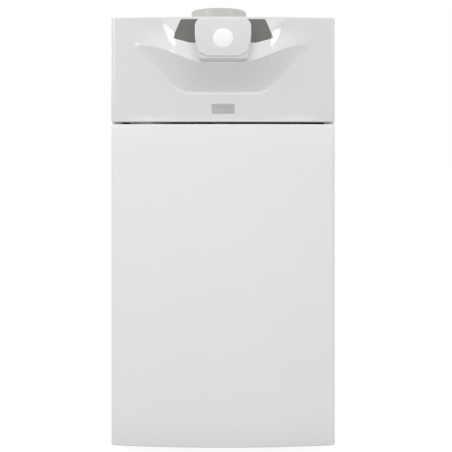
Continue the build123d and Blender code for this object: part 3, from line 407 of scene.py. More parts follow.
softEdges = {
    0.0004: ("side_panel_left", "side_panel_right", "top_panel", "rear_panel", "base_tray",
             "upper_rail", "door_inner_pan", "exchanger_cradle", "display_board"),
    0.0007: ("button_mode", "button_minus", "button_plus", "button_reset", "power_switch",
             "cable_glands", "burner_door_nuts", "drain_lever", "flue_socket",
             "flow_pipe", "return_pipe", "gas_pipe", "condensate_pipe"),
    0.0015: ("foot_front_left", "foot_front_right", "foot_rear_left", "foot_rear_right",
             "control_box", "intake_silencer", "condensate_trap", "fan_motor", "burner_door",
             "fan_housing", "gas_mixer", "gas_valve", "drain_cock"),
}
softShape = {"flatAngle": radians(0.5), "sharpAngle": radians(35), "segments": 2}


def softenEdges(node, width):
    mesh = bmesh.new()
    mesh.from_mesh(nodes[node].data)
    bmesh.ops.remove_doubles(mesh, verts=mesh.verts, dist=meshShape["same"])
    bmesh.ops.dissolve_limit(mesh, angle_limit=softShape["flatAngle"], verts=mesh.verts,
                             edges=mesh.edges)
    piece = addPiece(node + "Soft", mesh, body_of(nodes[node])[0], slotOf[node], [node],
                     tidy=False)
    addModifier(piece, "BEVEL", width=width, segments=softShape["segments"],
                limit_method="ANGLE", angle_limit=softShape["sharpAngle"],
                use_clamp_overlap=False, harden_normals=True)


for width, softNodes in softEdges.items():
    for node in softNodes:
        softenEdges(node, width)
print("edges softened")


# Bowed front: a plan line from one return over the front to the other

def bowY(x):
    return edgeY - casing["bow"] + bowRadius - sqrt(bowRadius ** 2 - x ** 2)


def planLine(columns):
    radius = casing["cornerRadius"]
    steps = casing["cornerSteps"]
    inner = halfWidth - radius
    centreY = bowY(inner) + radius
    line = [(-halfWidth, returnY), (-halfWidth, (returnY + centreY) / 2)]
    line += arcPoints(-inner, centreY, radius, pi, pi / 2, steps)[:-1]
    for step in range(columns + 1):
        x = inner * (2 * step / columns - 1)
        line.append((x, bowY(x)))
    line += arcPoints(inner, centreY, radius, -pi / 2, pi / 2, steps)[1:]
    return line + [(halfWidth, (returnY + centreY) / 2), (halfWidth, returnY)]


def bowedSheet(columns, rows, heightAt, pushAt):
    line = planLine(columns)
    mesh = bmesh.new()
    bmesh.ops.create_grid(mesh, x_segments=len(line) - 1, y_segments=rows, size=1)
    for vert in mesh.verts:
        x, y = line[round((vert.co.x + 1) / 2 * (len(line) - 1))]
        z = heightAt(x, round((1 - vert.co.y) / 2 * rows))
        vert.co = (x, y - pushAt(x, z), z)
    return mesh


def closeEnd(mesh, z):
    same = meshShape["same"]
    level = {vert for vert in mesh.verts if abs(vert.co.z - z) < same}
    rim = [edge for edge in mesh.edges if edge.is_boundary and level.issuperset(edge.verts)]
    back = mesh.edges.new([vert for vert in mesh.verts
                           if vert in level and vert.co.y > returnY - same])
    bmesh.ops.contextual_create(mesh, geom=rim + [back])
    bmesh.ops.recalc_face_normals(mesh, faces=mesh.faces)
    bevelEdges(mesh, rim, casing["edgeRound"], casing["edgeSegments"])


# Hood: a bowed sheet whose middle swells into a beak

hoodShape = {
    "tilt": radians(17), "sink": 0.001,
    "ridgeDrop": 0.094, "ridgeLift": 0.0385, "ridgeFlat": 0.030, "ridgeEnd": 0.162,
    "scoopDrop": 0.151, "scoopLift": 0.090, "scoopFlat": 0.070, "scoopEnd": 0.182,
    "scoopCurve": 1.2, "foldLow": 0.0905, "foldSpread": 0.0448, "foldFade": 0.0152,
    "foldSlope": 0.36, "foldStart": 0.29, "foldSpan": 0.048, "foldRound": 0.0010,
    "toeRound": 0.0014, "wingEnd": 0.178, "wingTop": 0.0195, "wingLow": 0.082,
    "wingDepth": 0.0225, "wingCurve": 1.15,
    "ridgeRound": 0.0006, "underFold": 0.02, "wall": 0.002, "rim": 0.0005, "rimSegments": 3,
    "columns": 260, "bandRows": 40, "scoopRows": 30, "lowRows": 10, "crowd": 1.4,
}


def ridgeAt(x):
    rise = smoothStep(hoodShape["ridgeFlat"], hoodShape["ridgeEnd"], abs(x))
    return hoodShape["ridgeDrop"] - hoodShape["ridgeLift"] * rise


def scoopAt(x):
    rise = smoothStep(hoodShape["scoopFlat"], hoodShape["scoopEnd"], abs(x))
    return hoodShape["scoopDrop"] - hoodShape["scoopLift"] * rise


def bandDepth(drop):
    return (drop - hoodShape["sink"]) * tan(hoodShape["tilt"]) - hoodShape["sink"]


def bandFront(z):
    return edgeY - casing["bow"] - bandDepth(casingTop - z)


def frontDepth(x, drop):
    shape = hoodShape
    band = bandDepth(drop)
    side = abs(x) - shape["foldLow"] - shape["foldSpread"] * exp(-drop / shape["foldFade"])
    reach = max(shape["wingEnd"] - abs(x), 0) / (shape["wingEnd"] - shape["foldLow"])
    wing = shape["wingDepth"] * reach ** shape["wingCurve"] * smoothStep(
        shape["wingTop"], shape["wingLow"], drop)
    slope = shape["foldSlope"] * min(1, shape["foldStart"] + drop / shape["foldSpan"])
    steep = band - slope * side
    return softMin(band, softMax(steep, wing, shape["toeRound"]), shape["foldRound"])


def beakDepth(x, z):
    drop = casingTop - z
    ridge, low = ridgeAt(x), scoopAt(x)
    along = (drop - ridge) / (low - ridge)
    if along >= 1:
        return 0
    under = max(frontDepth(x, ridge), 0) * (1 - along) ** hoodShape["scoopCurve"]
    face = frontDepth(x, min(drop, ridge + hoodShape["underFold"]))
    depth = softMin(face, under, hoodShape["ridgeRound"])
    return max(depth, 0)


def hoodHeight(x, row):
    bandRows, scoopRows = hoodShape["bandRows"], hoodShape["scoopRows"]
    crowd = hoodShape["crowd"]
    if row <= bandRows:
        drop = ridgeAt(x) * (1 - (1 - row / bandRows) ** crowd)
    elif row <= bandRows + scoopRows:
        share = ((row - bandRows) / scoopRows) ** crowd
        drop = ridgeAt(x) + (scoopAt(x) - ridgeAt(x)) * share
    else:
        share = (row - bandRows - scoopRows) / hoodShape["lowRows"]
        drop = scoopAt(x) + (casingTop - hoodLow - scoopAt(x)) * share
    return casingTop - drop


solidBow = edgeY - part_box("front_door")[0].y  # the CAD pieces of the panel stand on this bow


def bandPlace(x, drop, lift=0):
    tilt = hoodShape["tilt"]
    y = edgeY - solidBow - bandDepth(drop)
    spot = Vector((x, y - lift * cos(tilt), casingTop - drop + lift * sin(tilt)))
    return at(spot, pi / 2 - tilt, "X")


fasciaShape = {
    "half": ((0.0816, 0.0050), (0.0832, 0.0053), (0.0844, 0.0062), (0.0852, 0.0076),
             (0.0986, 0.0409), (0.0989, 0.0421), (0.0984, 0.0434), (0.0955, 0.0452),
             (0.0690, 0.0526), (0.0660, 0.0533), (0.0630, 0.0537), (0.0600, 0.0538),
             (0.0450, 0.0538), (0.0450, 0.0840)),
    "gap": 0.0003, "sunk": 0.0004, "wall": 0.0015, "edgeRound": 0.0003, "edgeSegments": 2,
    "mitre": 0.2, "cutReach": 0.004, "cutBehind": 0.002, "same": 1e-7,
}

panelShape = {
    "buttonDrop": 0.072, "buttonPitch": 0.018, "button": (0.0156, 0.0086), "corner": 0.0028,
    "buttonProud": 0.0016, "lensX": -0.007, "lensDrop": 0.030, "lens": (0.052, 0.026),
    "switchX": 0.032, "switchDrop": 0.040, "switch": (0.0139, 0.0211), "lensCorner": 0.0004,
    "cornerSteps": 4, "screenBack": 0.0026, "screenThick": 0.0006,
    "earX": 0.033, "earWidth": 0.006, "earRadius": 0.003, "earSteps": 12,
}
pinMiddle = sum(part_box("flap_hinge_pin"), Vector()) / 2
buttonNodes = ("button_mode", "button_minus", "button_plus", "button_reset")


def buttonX(index):
    return (index - (len(buttonNodes) - 1) / 2) * panelShape["buttonPitch"]


def roundedHole(x, drop, size, corner, steps):
    half, tall = size[0] / 2 - corner, size[1] / 2 - corner
    tilt = hoodShape["tilt"]
    behind = bowY(x) - edgeY + solidBow + fasciaShape["sunk"]
    middle = casingTop - drop - (behind * cos(tilt) + fasciaShape["wall"] / 2) * sin(tilt)
    points = []
    for turn, (side, height) in enumerate(((1, 1), (-1, 1), (-1, -1), (1, -1))):
        points += arcPoints(side * half, height * tall, corner, turn * pi / 2, pi / 2, steps)
    return [Vector((x + across, middle + along * cos(tilt))) for across, along in points]


def panelHoles():
    shape = panelShape
    holes = [roundedHole(buttonX(index), shape["buttonDrop"], shape["button"],
                         shape["corner"], shape["cornerSteps"])
             for index in range(len(buttonNodes))]
    return holes + [roundedHole(shape[part + "X"], shape[part + "Drop"], shape[part],
                                shape["lensCorner"], 1) for part in ("lens", "switch")]


def mirrored(half):
    return [*half, *[(-x, drop) for x, drop in reversed(half)]]


def fasciaOutline(inset):
    points = [Vector((x, casingTop - drop)) for x, drop in mirrored(fasciaShape["half"])]
    moved = []
    for index, point in enumerate(points):
        before = (point - points[index - 1]).normalized()
        after = (points[(index + 1) % len(points)] - point).normalized()
        outward = Vector((-before.y - after.y, before.x + after.x)).normalized()
        reach = inset / max(outward.dot(Vector((-before.y, before.x))), fasciaShape["mitre"])
        moved.append(point - outward * reach)
    return moved


def inside(points, x, z):
    hit = False
    for a, b in zip(points, points[1:] + points[:1]):
        if (a.y > z) != (b.y > z) and x < a.x + (z - a.y) / (b.y - a.y) * (b.x - a.x):
            hit = not hit
    return hit


def cutOutline(mesh, points, keepInside):
    reach, backY = fasciaShape["cutReach"], edgeY + fasciaShape["cutBehind"]
    for a, b in zip(points, points[1:] + points[:1]):
        along = (b - a).normalized()
        across = Vector((-along.y, along.x))
        near = []
        for face in mesh.faces:
            middle = face.calc_center_median()
            offset = Vector((middle.x - a.x, middle.z - a.y))
            beside = -reach < offset.dot(along) < (b - a).length + reach
            if beside and middle.y < backY and abs(offset.dot(across)) < reach:
                near.append(face)
        geometry = near + list({e for f in near for e in f.edges}) + list(
            {v for f in near for v in f.verts})
        bmesh.ops.bisect_plane(mesh, geom=geometry, dist=fasciaShape["same"],
                               plane_co=(a.x, 0, a.y), plane_no=(across.x, 0, across.y))
    spare = []
    for face in mesh.faces:
        middle = face.calc_center_median()
        within = middle.y < backY and inside(points, middle.x, middle.z)
        if within != keepInside:
            spare.append(face)
    bmesh.ops.delete(mesh, geom=spare, context="FACES")


def hoodSheet():
    rows = hoodShape["bandRows"] + hoodShape["scoopRows"] + hoodShape["lowRows"]
    return bowedSheet(hoodShape["columns"], rows, hoodHeight, beakDepth)


def makeHood():
    mesh = hoodSheet()
    closeEnd(mesh, casingTop)
    closeEnd(mesh, hoodLow)
    cutOutline(mesh, fasciaOutline(0), False)
    piece = addPiece("hoodShell", mesh, "cabinet", "white_moulding", ["hood"], 40)
    addModifier(piece, "SOLIDIFY", thickness=hoodShape["wall"], offset=-1)
    roundSharp(piece, hoodShape["rim"], hoodShape["rimSegments"])


def makeFascia():
    mesh = hoodSheet()
    cutOutline(mesh, fasciaOutline(fasciaShape["gap"]), True)
    for hole in panelHoles():
        cutOutline(mesh, hole, False)
    bmesh.ops.recalc_face_normals(mesh, faces=mesh.faces)
    for vert in mesh.verts:
        vert.co.y += fasciaShape["sunk"]
    piece = addPiece("smokedFascia", mesh, "cabinet", "smoked", ["display_fascia"], 40)
    addModifier(piece, "SOLIDIFY", thickness=fasciaShape["wall"], offset=-1)
    roundSharp(piece, fasciaShape["edgeRound"], fasciaShape["edgeSegments"])


def makeEars():
    shape = panelShape
    mesh = bmesh.new()
    radius = shape["earRadius"]
    root = bandFront(pinMiddle.z) + fasciaShape["wall"]
    axisY, axisZ = pinMiddle.y, pinMiddle.z
    for side in (-1, 1):
        x = side * shape["earX"] - shape["earWidth"] / 2
        points = [(root, axisZ - radius), (root, axisZ + radius),
                  *arcPoints(axisY, axisZ, radius, pi / 2, pi, shape["earSteps"])]
        ear = mesh.faces.new([mesh.verts.new((x, y, z)) for y, z in points])
        thicken(mesh, [ear], shape["earWidth"])
    piece = addPiece("hingeEars", mesh, "cabinet", "smoked")
    roundSharp(piece, fasciaShape["edgeRound"], fasciaShape["edgeSegments"])


markShape = {
    "thick": 0.00012, "reach": 0.0052, "sign": 0.00088, "row": 0.00077, "rowStep": 0.00198,
    "rows": (-1, 0, 1), "ring": 0.0022, "ringLine": 0.00066, "ringStart": radians(110),
    "ringSweep": radians(290), "ringSteps": 14, "tip": 0.00154, "tipTurn": radians(35),
    "overlap": 1.1, "rocker": 0.0045, "rockerUp": 0.0051, "rockerDown": -0.0037,
    "rockerLift": 0.00125, "rockerLean": radians(-14.8), "rockerSteps": 20,
}
screenShape = {
    "edge": 0.00015, "digit": (0.0062, 0.011), "digitX": (-0.0085, 0.001), "digitY": 0.001,
    "stroke": 0.0012, "rules": 8, "rule": 0.0009, "ruleGrow": 0.2, "ruleLong": 0.00224,
    "ruleStep": 0.0032, "ruleY": -0.0085, "degree": 0.0011, "degreeLine": 0.0005,
    "degreeAt": (0.0085, 0.006, 0), "degreeSteps": 16,
}
digitStrokes = {  # centre x and y in half sizes, and whether the stroke lies flat
    "top": (0, 1, True), "middle": (0, 0, True), "low": (0, -1, True),
    "upLeft": (-1, 0.5, False), "upRight": (1, 0.5, False),
    "lowLeft": (-1, -0.5, False), "lowRight": (1, -0.5, False),
}
shownDigits = (("top", "middle", "low", "upLeft", "lowLeft", "lowRight"),
               ("top", "low", "upLeft", "upRight", "lowLeft", "lowRight"))


def addBar(mesh, place, x, y, width, height, turn=0):
    size = Matrix.Diagonal((width, height, markShape["thick"], 1))
    bmesh.ops.create_cube(mesh, size=1, matrix=place @ at((x, y, 0), turn) @ size)


def addArc(mesh, place, radius, start, sweep, width, steps):
    step = sweep / steps
    for index in range(steps):
        angle = start + (index + 0.5) * step
        addBar(mesh, place, radius * cos(angle), radius * sin(angle),
               width, markShape["overlap"] * radius * step, angle)


def makeButtonMarks():
    shape = markShape
    sign, line = shape["sign"], shape["ringLine"]
    for index, node in enumerate(buttonNodes):
        place = bandPlace(buttonX(index), panelShape["buttonDrop"],
                          panelShape["buttonProud"])
        mesh = bmesh.new()
        if node == "button_mode":
            for row in shape["rows"]:
                addBar(mesh, place, 0, row * shape["rowStep"], shape["reach"], shape["row"])
        elif node == "button_reset":
            addArc(mesh, place, shape["ring"], shape["ringStart"], shape["ringSweep"], line,
                   shape["ringSteps"])
            addBar(mesh, place, 0, shape["ring"], shape["tip"], line, shape["tipTurn"])
        else:
            addBar(mesh, place, 0, 0, shape["reach"], sign)
            if node == "button_plus":
                addBar(mesh, place, 0, 0, sign, shape["reach"])
        addPiece(node + "Mark", mesh, node, "grey_plastic", tidy=False)


def makeRockerMarks():
    mesh = bmesh.new()
    shape = markShape
    middle = bandPlace(panelShape["switchX"], panelShape["switchDrop"])
    addBar(mesh, middle, 0, shape["rockerUp"], shape["row"], shape["rocker"])
    lower = at((0, shape["rockerDown"], shape["rockerLift"]), shape["rockerLean"], "X")
    addArc(mesh, middle @ lower, shape["ring"], 0, 2 * pi, shape["ringLine"],
           shape["rockerSteps"])
    addPiece("rockerMarks", mesh, "power_switch", "light_plastic", tidy=False)


def makeScreen():
    shape, panel = screenShape, panelShape
    place = bandPlace(panel["lensX"], panel["lensDrop"], -panel["screenBack"])
    glass = bmesh.new()
    size = Matrix.Diagonal((*panel["lens"], panel["screenThick"], 1))
    bmesh.ops.create_cube(glass, size=1, matrix=place @ size)
    bevelEdges(glass, list(glass.edges), shape["edge"], 2)
    addPiece("screenPlate", glass, "cabinet", "screen")
    ink = bmesh.new()
    face = place @ at((0, 0, panel["screenThick"] / 2))
    half, tall = shape["digit"][0] / 2, shape["digit"][1] / 2
    stroke = shape["stroke"]
    for x, names in zip(shape["digitX"], shownDigits):
        for name in names:
            across, along, flat = digitStrokes[name]
            long = 2 * half - stroke if flat else tall - stroke
            addBar(ink, face, x + across * half, shape["digitY"] + along * tall,
                   long if flat else stroke, stroke if flat else long)
    for step in range(shape["rules"]):
        addBar(ink, face, (step - (shape["rules"] - 1) / 2) * shape["ruleStep"], shape["ruleY"],
               shape["ruleLong"], shape["rule"] * (1 + shape["ruleGrow"] * step))
    addArc(ink, face @ at(shape["degreeAt"]), shape["degree"], 0, 2 * pi,
           shape["degreeLine"], shape["degreeSteps"])
    addPiece("screenMarks", ink, "cabinet", "screen_ink", tidy=False)


makeHood()
makeFascia()
makeEars()
makeButtonMarks()
makeRockerMarks()
makeScreen()
print("hood, fascia and controls made")


# Door

doorShape = {"columns": 96, "rows": 12, "wall": 0.0012, "lugWidth": 0.003,
             "lugRadius": 0.0045, "lugX": 0.179, "pinRadius": 0.0031, "lugSteps": 48,
             "heel": (0.0018, 0.010)}


def makeDoor():
    def heightAt(x, row):
        return doorHigh - (doorHigh - doorLow) * row / doorShape["rows"]

    mesh = bowedSheet(doorShape["columns"], doorShape["rows"], heightAt, lambda x, z: 0)
    closeEnd(mesh, doorHigh)
    closeEnd(mesh, doorLow)
    heel, heelHigh = doorShape["heel"]
    cutThrough(mesh, (0, returnY - heel, doorLow), (0, heelHigh, -heel), clear_outer=True)
    piece = addPiece("doorSkin", mesh, "front_door", "white_paint", ["front_door"], 40)
    addModifier(piece, "SOLIDIFY", thickness=doorShape["wall"], offset=-1)


def makeLugs():
    shape = doorShape
    pinLow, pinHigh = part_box("door_pivot_pins")
    pin = (pinLow + pinHigh) / 2
    front = bowY(shape["lugX"]) + shape["wall"]
    mesh = bmesh.new()
    for side in (-1, 1):
        x = side * shape["lugX"] - shape["lugWidth"] / 2
        inner, outer = [], []
        for step in range(shape["lugSteps"]):
            angle = (step + 0.5) / shape["lugSteps"] * 2 * pi
            y, z = cos(angle), sin(angle)
            reach = shape["lugRadius"]
            if y < 0:
                reach = min((pin.y - front) / -y, shape["lugRadius"] / abs(z))
            inner.append(mesh.verts.new((x, pin.y + shape["pinRadius"] * y,
                                         pin.z + shape["pinRadius"] * z)))
            outer.append(mesh.verts.new((x, pin.y + reach * y, pin.z + reach * z)))
        ring = [mesh.faces.new((inner[i], outer[i], outer[i - 1], inner[i - 1]))
                for i in range(shape["lugSteps"])]
        thicken(mesh, ring, shape["lugWidth"])
    addPiece("doorLugs", mesh, "front_door", "white_paint")


makeDoor()
makeLugs()
print("door made")


# Badge plate on the hood, bare

badgeShape = {"half": 0.0225, "high": 0.019, "drop": 0.1828, "corner": 0.001,
              "cornerSegments": 4, "columns": 12, "proud": 0.001, "rim": 0.0011,
              "sunk": 0.00025}


def makeBadge():
    mesh = bmesh.new()
    middle = casingTop - badgeShape["drop"]
    half, tall = badgeShape["half"], badgeShape["high"] / 2
    corners = [mesh.verts.new((x * half, 0, middle + z * tall))
               for x, z in ((-1, -1), (1, -1), (1, 1), (-1, 1))]
    mesh.faces.new(corners)
    roundCorners(mesh, corners, badgeShape["corner"], badgeShape["cornerSegments"])
    front = list(mesh.faces)
    bmesh.ops.inset_region(mesh, faces=front, thickness=badgeShape["rim"])
    bmesh.ops.inset_region(mesh, faces=front, thickness=badgeShape["sunk"],
                           depth=-badgeShape["sunk"])
    bmesh.ops.subdivide_edges(mesh, edges=[e for e in mesh.edges if e.calc_length() > half],
                              cuts=badgeShape["columns"] - 1)
    for vert in mesh.verts:
        vert.co.y += bowY(vert.co.x) - badgeShape["proud"]
    rim = [edge for edge in mesh.edges if edge.is_boundary]
    for vert in newVerts(bmesh.ops.extrude_edge_only(mesh, edges=rim)):
        vert.co.y += badgeShape["proud"]
    addPiece("badgePlate", mesh, "cabinet", "satin_plate", ["badge_plate"], 30)


makeBadge()


# Control flap and its disc

flapShape = {
    "half": 0.0554, "lowHalf": 0.0468, "taperDrop": 0.047, "lowDrop": 0.0922,
    "topDrop": 0.005, "corner": 0.016, "sideCorner": 0.012, "lowCorner": 0.009,
    "plateCorner": 0.002, "tilt": radians(13),
    "lip": 0.0085, "plateLowDrop": 0.0825, "plateLowHalf": 0.0310, "chamferDrop": 0.0745,
    "chamferHalf": 0.0468, "plateInset": 0.0008, "plateProud": 0.0022,
    "edge": 0.0019, "edgeSegments": 4, "wall": 0.0024, "baseRound": 0.0009, "backGap": 0.0006,
    "roundDrop": 0.0850, "roundRows": 7, "roundBack": 0.95, "roundCurve": 1.4,
    "slotGap": 0.00035, "slotReach": 0.0001, "backReach": 0.00001, "boss": 0.0038,
    "bossBore": 0.0016, "bossEnd": 0.0450, "bossRound": 0.0004, "bossSteps": 32,
}
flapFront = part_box("control_flap")[0].y
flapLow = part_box("control_flap")[0].z


def flapFace(z):
    return flapFront + (z - flapLow - flapShape["lip"]) * tan(flapShape["tilt"])


def flapPlate(outline, radii, near, far, bevel):
    mesh = bmesh.new()
    corners = [mesh.verts.new((x, 0, casingTop - drop)) for x, drop in outline]
    mesh.faces.new(corners)
    for corner, radius in zip(corners, radii):
        roundCorners(mesh, [corner], radius)
    moved = set(newVerts(bmesh.ops.extrude_face_region(mesh, geom=list(mesh.faces))))
    for vert in mesh.verts:
        vert.co.y = near(vert.co.z) if vert in moved else far(vert.co.z)
    bmesh.ops.recalc_face_normals(mesh, faces=mesh.faces)
    rim = [edge for edge in mesh.edges if moved.issuperset(edge.verts)]
    bevelEdges(mesh, rim, bevel, flapShape["edgeSegments"])
    return mesh


def flapBack(z):
    return bandFront(z) - flapShape["backGap"]


def hollowFlap(mesh):
    shape = flapShape
    fall = shape["lowDrop"] - shape["roundDrop"]
    for row in range(shape["roundRows"]):
        z = casingTop - shape["roundDrop"] - fall * row / shape["roundRows"]
        cutThrough(mesh, (0, 0, z), (0, 0, 1))
    for vert in mesh.verts:
        share = min(max((casingTop - vert.co.z - shape["roundDrop"]) / fall, 0), 1)
        back = flapBack(vert.co.z) - vert.co.y
        vert.co.y += back * shape["roundBack"] * share ** shape["roundCurve"]
    reach = panelShape["earWidth"] / 2 + shape["slotGap"]
    slotFront = pinMiddle.y - shape["boss"] - shape["slotGap"]
    cuts = [((side * panelShape["earX"] + end * reach, 0, 0), (1, 0, 0))
            for side in (-1, 1) for end in (-1, 1)] + [((0, slotFront, 0), (0, 1, 0))]
    for point, normal in cuts:
        cutThrough(mesh, point, normal)
    slotLow = casingTop - shape["topDrop"] - shape["slotReach"]
    spare = []
    for face in mesh.faces:
        middle = face.calc_center_median()
        behind = all(abs(vert.co.y - flapBack(vert.co.z)) < shape["backReach"]
                     for vert in face.verts)
        slot = middle.z > slotLow and middle.y > slotFront
        if behind or slot and abs(abs(middle.x) - panelShape["earX"]) < reach:
            spare.append(face)
    bmesh.ops.delete(mesh, geom=spare, context="FACES")


def makeBarrels():
    shape = flapShape
    reach = panelShape["earWidth"] / 2 + shape["slotGap"]
    inner, outer = panelShape["earX"] - reach, panelShape["earX"] + reach
    bevel = shape["bossRound"]
    barrels = []
    for low, high in ((-shape["bossEnd"], -outer), (-inner, inner), (outer, shape["bossEnd"])):
        barrels.append(spun((
            (shape["bossBore"], low), (shape["boss"] - bevel, low), (shape["boss"], low + bevel),
            (shape["boss"], high - bevel), (shape["boss"] - bevel, high),
            (shape["bossBore"], high)), pinMiddle, (1, 0, 0), shape["bossSteps"]))
    addPiece("flapBarrels", joined(barrels), "control_flap", "flap_white")


def makeFlap():
    shape = flapShape
    corner, side = shape["corner"], shape["sideCorner"]
    base = flapPlate(
        mirrored([(shape["half"], shape["topDrop"]), (shape["half"], shape["taperDrop"]),
                  (shape["lowHalf"], shape["lowDrop"])]),
        (corner, side, shape["lowCorner"], shape["lowCorner"], side, corner),
        lambda z: flapFace(z) + shape["plateProud"], flapBack, shape["baseRound"])
    hollowFlap(base)
    shell = addPiece("flapShell", base, "control_flap", "flap_white", ["control_flap"], 40)
    addModifier(shell, "SOLIDIFY", thickness=shape["wall"], offset=-1)
    makeBarrels()
    half = shape["half"] - shape["plateInset"]
    plate = flapPlate(
        mirrored([(half, shape["topDrop"] + shape["plateInset"]), (half, shape["taperDrop"]),
                  (shape["chamferHalf"], shape["chamferDrop"]),
                  (shape["plateLowHalf"], shape["plateLowDrop"])]),
        (corner, side, *[shape["plateCorner"]] * 4, side, corner),
        flapFace, lambda z: flapFace(z) + shape["plateProud"], shape["edge"])
    addPiece("flapPlate", plate, "control_flap", "flap_white", (), 40)


discShape = {"radius": 0.020, "drop": 0.0462, "thick": 0.0012, "edge": 0.0004, "sides": 96}


def makeDisc():
    mesh = bmesh.new()
    bmesh.ops.create_cone(mesh, cap_ends=True, segments=discShape["sides"],
                          depth=discShape["thick"], radius1=discShape["radius"],
                          radius2=discShape["radius"])
    middle = casingTop - discShape["drop"]
    place = at((0, flapFace(middle), middle), pi / 2 - flapShape["tilt"], "X")
    bmesh.ops.transform(mesh, matrix=place, verts=mesh.verts)
    rims = [edge for edge in mesh.edges if any(len(face.verts) > 4 for face in edge.link_faces)]
    bevelEdges(mesh, rims, discShape["edge"], 2)
    addPiece("flapDisc", mesh, "control_flap", "disc_white", ["flap_disc"], 40)


makeFlap()
makeDisc()
print("flap made")


# Flue collar

collarShape = {
    "radius": 0.0658, "bore": 0.0627, "foot": 0.067, "footHigh": 0.014,
    "flange": 0.084, "flangeThick": 0.003, "steps": 128,
    "shoulder": ((0, 0.0045), (0.0006, 0.0024), (0.0014, 0.0009), (0.0024, 0.0)),
    "ribs": 3, "ribThick": 0.004, "ribHigh": 0.012, "ribRise": 0.001,
    "ribIn": 0.0428, "ribOut": 0.0632, "ribRound": 0.0005, "ribSegments": 2,
}
collarLow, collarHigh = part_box("flue_collar")
collarX = (collarLow.x + collarHigh.x) / 2
collarY = (collarLow.y + collarHigh.y) / 2
collarTop = collarHigh.z


def makeCollar():
    shape = collarShape
    low = casingTop
    profile = [(shape["bore"], low), (shape["flange"], low),
               (shape["flange"], low + shape["flangeThick"]),
               (shape["foot"], low + shape["flangeThick"]),
               (shape["radius"], low + shape["footHigh"])]
    profile += [(shape["radius"] - side, collarTop - down) for side, down in shape["shoulder"]]
    profile.append((shape["bore"], collarTop))
    ring = spun(profile, (collarX, collarY, 0), (0, 0, 1), shape["steps"])
    ribs = bmesh.new()
    for index in range(shape["ribs"]):
        turn = at((collarX, collarY, low + shape["ribRise"]), index / shape["ribs"] * 2 * pi)
        addBlock(ribs, (shape["ribIn"], -shape["ribThick"] / 2, 0),
                 (shape["ribOut"], shape["ribThick"] / 2, shape["ribHigh"]), turn)
    bevelEdges(ribs, list(ribs.edges), shape["ribRound"], shape["ribSegments"])
    addPiece("flueCollar", joined([ring, ribs]), "cabinet", "collar_grey", ["flue_collar"])


makeCollar()
print("collar made")


# Screws: a pressed cross in a low dome, made once and copied to each place

screwShape = {
    "profile": ((0.0024, 0.0022), (0.0032, 0.0019), (0.0038, 0.0012), (0.0040, 0.0003),
                (0.0040, 0.0), (0.0019, 0.0), (0.0019, -0.0072), (0.0008, -0.0080)),
    "cross": 0.00055, "crossReach": 0.0019, "crossDeep": 0.0012, "crossTaper": 0.8,
    "steps": 24, "same": 1e-7, "fromEdge": 0.0102, "endGap": 0.040, "rearRows": 5,
    "topRows": 3, "hoodX": 0.150, "hoodBack": 0.0175, "collarScrews": 4,
    "collarRadius": 0.0755,
}


def screwMesh():
    shape = screwShape
    mesh = spun(shape["profile"], (0, 0, 0), (0, 0, 1), shape["steps"], closed=False)
    high = shape["profile"][0][1]
    w, reach, taper = shape["cross"], shape["crossReach"], shape["crossTaper"]
    loop = ((w, w), (reach, w), (reach, -w), (w, -w), (w, -reach), (-w, -reach),
            (-w, -w), (-reach, -w), (-reach, w), (-w, w), (-w, reach), (w, reach))
    upper = [mesh.verts.new((x, y, high)) for x, y in loop]
    lower = [mesh.verts.new((x * taper, y * taper, high - shape["crossDeep"]))
             for x, y in loop]
    for index in range(len(loop)):
        mesh.faces.new((upper[index - 1], upper[index], lower[index], lower[index - 1]))
    mesh.faces.new(lower)
    rim = [edge for edge in mesh.edges if edge.is_boundary
           and all(abs(vert.co.z - high) < shape["same"] for vert in edge.verts)]
    bmesh.ops.triangle_fill(mesh, edges=rim, use_beauty=True)
    bmesh.ops.recalc_face_normals(mesh, faces=mesh.faces)
    return mesh


def spread(low, high, count):
    return [low + (high - low) * index / (count - 1) for index in range(count)]


def screwPlaces():
    shape = screwShape
    gap = shape["endGap"]
    headHigh = shape["profile"][0][1]
    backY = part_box("rear_panel")[1].y
    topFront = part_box("top_panel")[0].y
    places = []
    for side in (-1, 1):
        x = side * (halfWidth - shape["fromEdge"])
        for z in spread(doorLow + gap, casingTop - gap, shape["rearRows"]):
            places.append(at((x, backY, z), -pi / 2, "X"))
        for y in spread(topFront + gap, backY - gap, shape["topRows"]):
            places.append(at((x, y, casingTop)))
        hoodSpot = (side * shape["hoodX"], edgeY + shape["hoodBack"], hoodLow + headHigh)
        places.append(at(hoodSpot, pi, "X"))
    for index in range(shape["collarScrews"]):
        angle = (index + 0.5) / shape["collarScrews"] * 2 * pi
        places.append(at((collarX + shape["collarRadius"] * cos(angle),
                          collarY + shape["collarRadius"] * sin(angle),
                          casingTop + collarShape["flangeThick"])))
    return places


def makeScrews():
    data = dataFrom(screwMesh(), "screwTemplate")
    whole = bmesh.new()
    for place in screwPlaces():
        before = len(whole.verts)
        whole.from_mesh(data)
        whole.verts.ensure_lookup_table()
        bmesh.ops.transform(whole, matrix=place, verts=whole.verts[before:])
    bpy.data.meshes.remove(data)
    addPiece("casingScrews", whole, "cabinet", "zinc", ["casing_screws"], 30)


# Pipe threads: one ridge wound along each end

threadShape = {
    "pitch": 0.0023, "length": 0.024, "steps": 24,
    "ridge": ((0.1, -0.0003), (0.42, 0.0006), (0.58, 0.0006), (0.9, -0.0003)),
}
threads = {  # x, z, radius and slot
    "flowThread": (0.092, 0.5064, 0.0166, "stainless"),
    "returnThread": (0.092, 0.3344, 0.0166, "stainless"),
    "gasThread": (0.150, 0.096, 0.0132, "yellow_paint"),
}


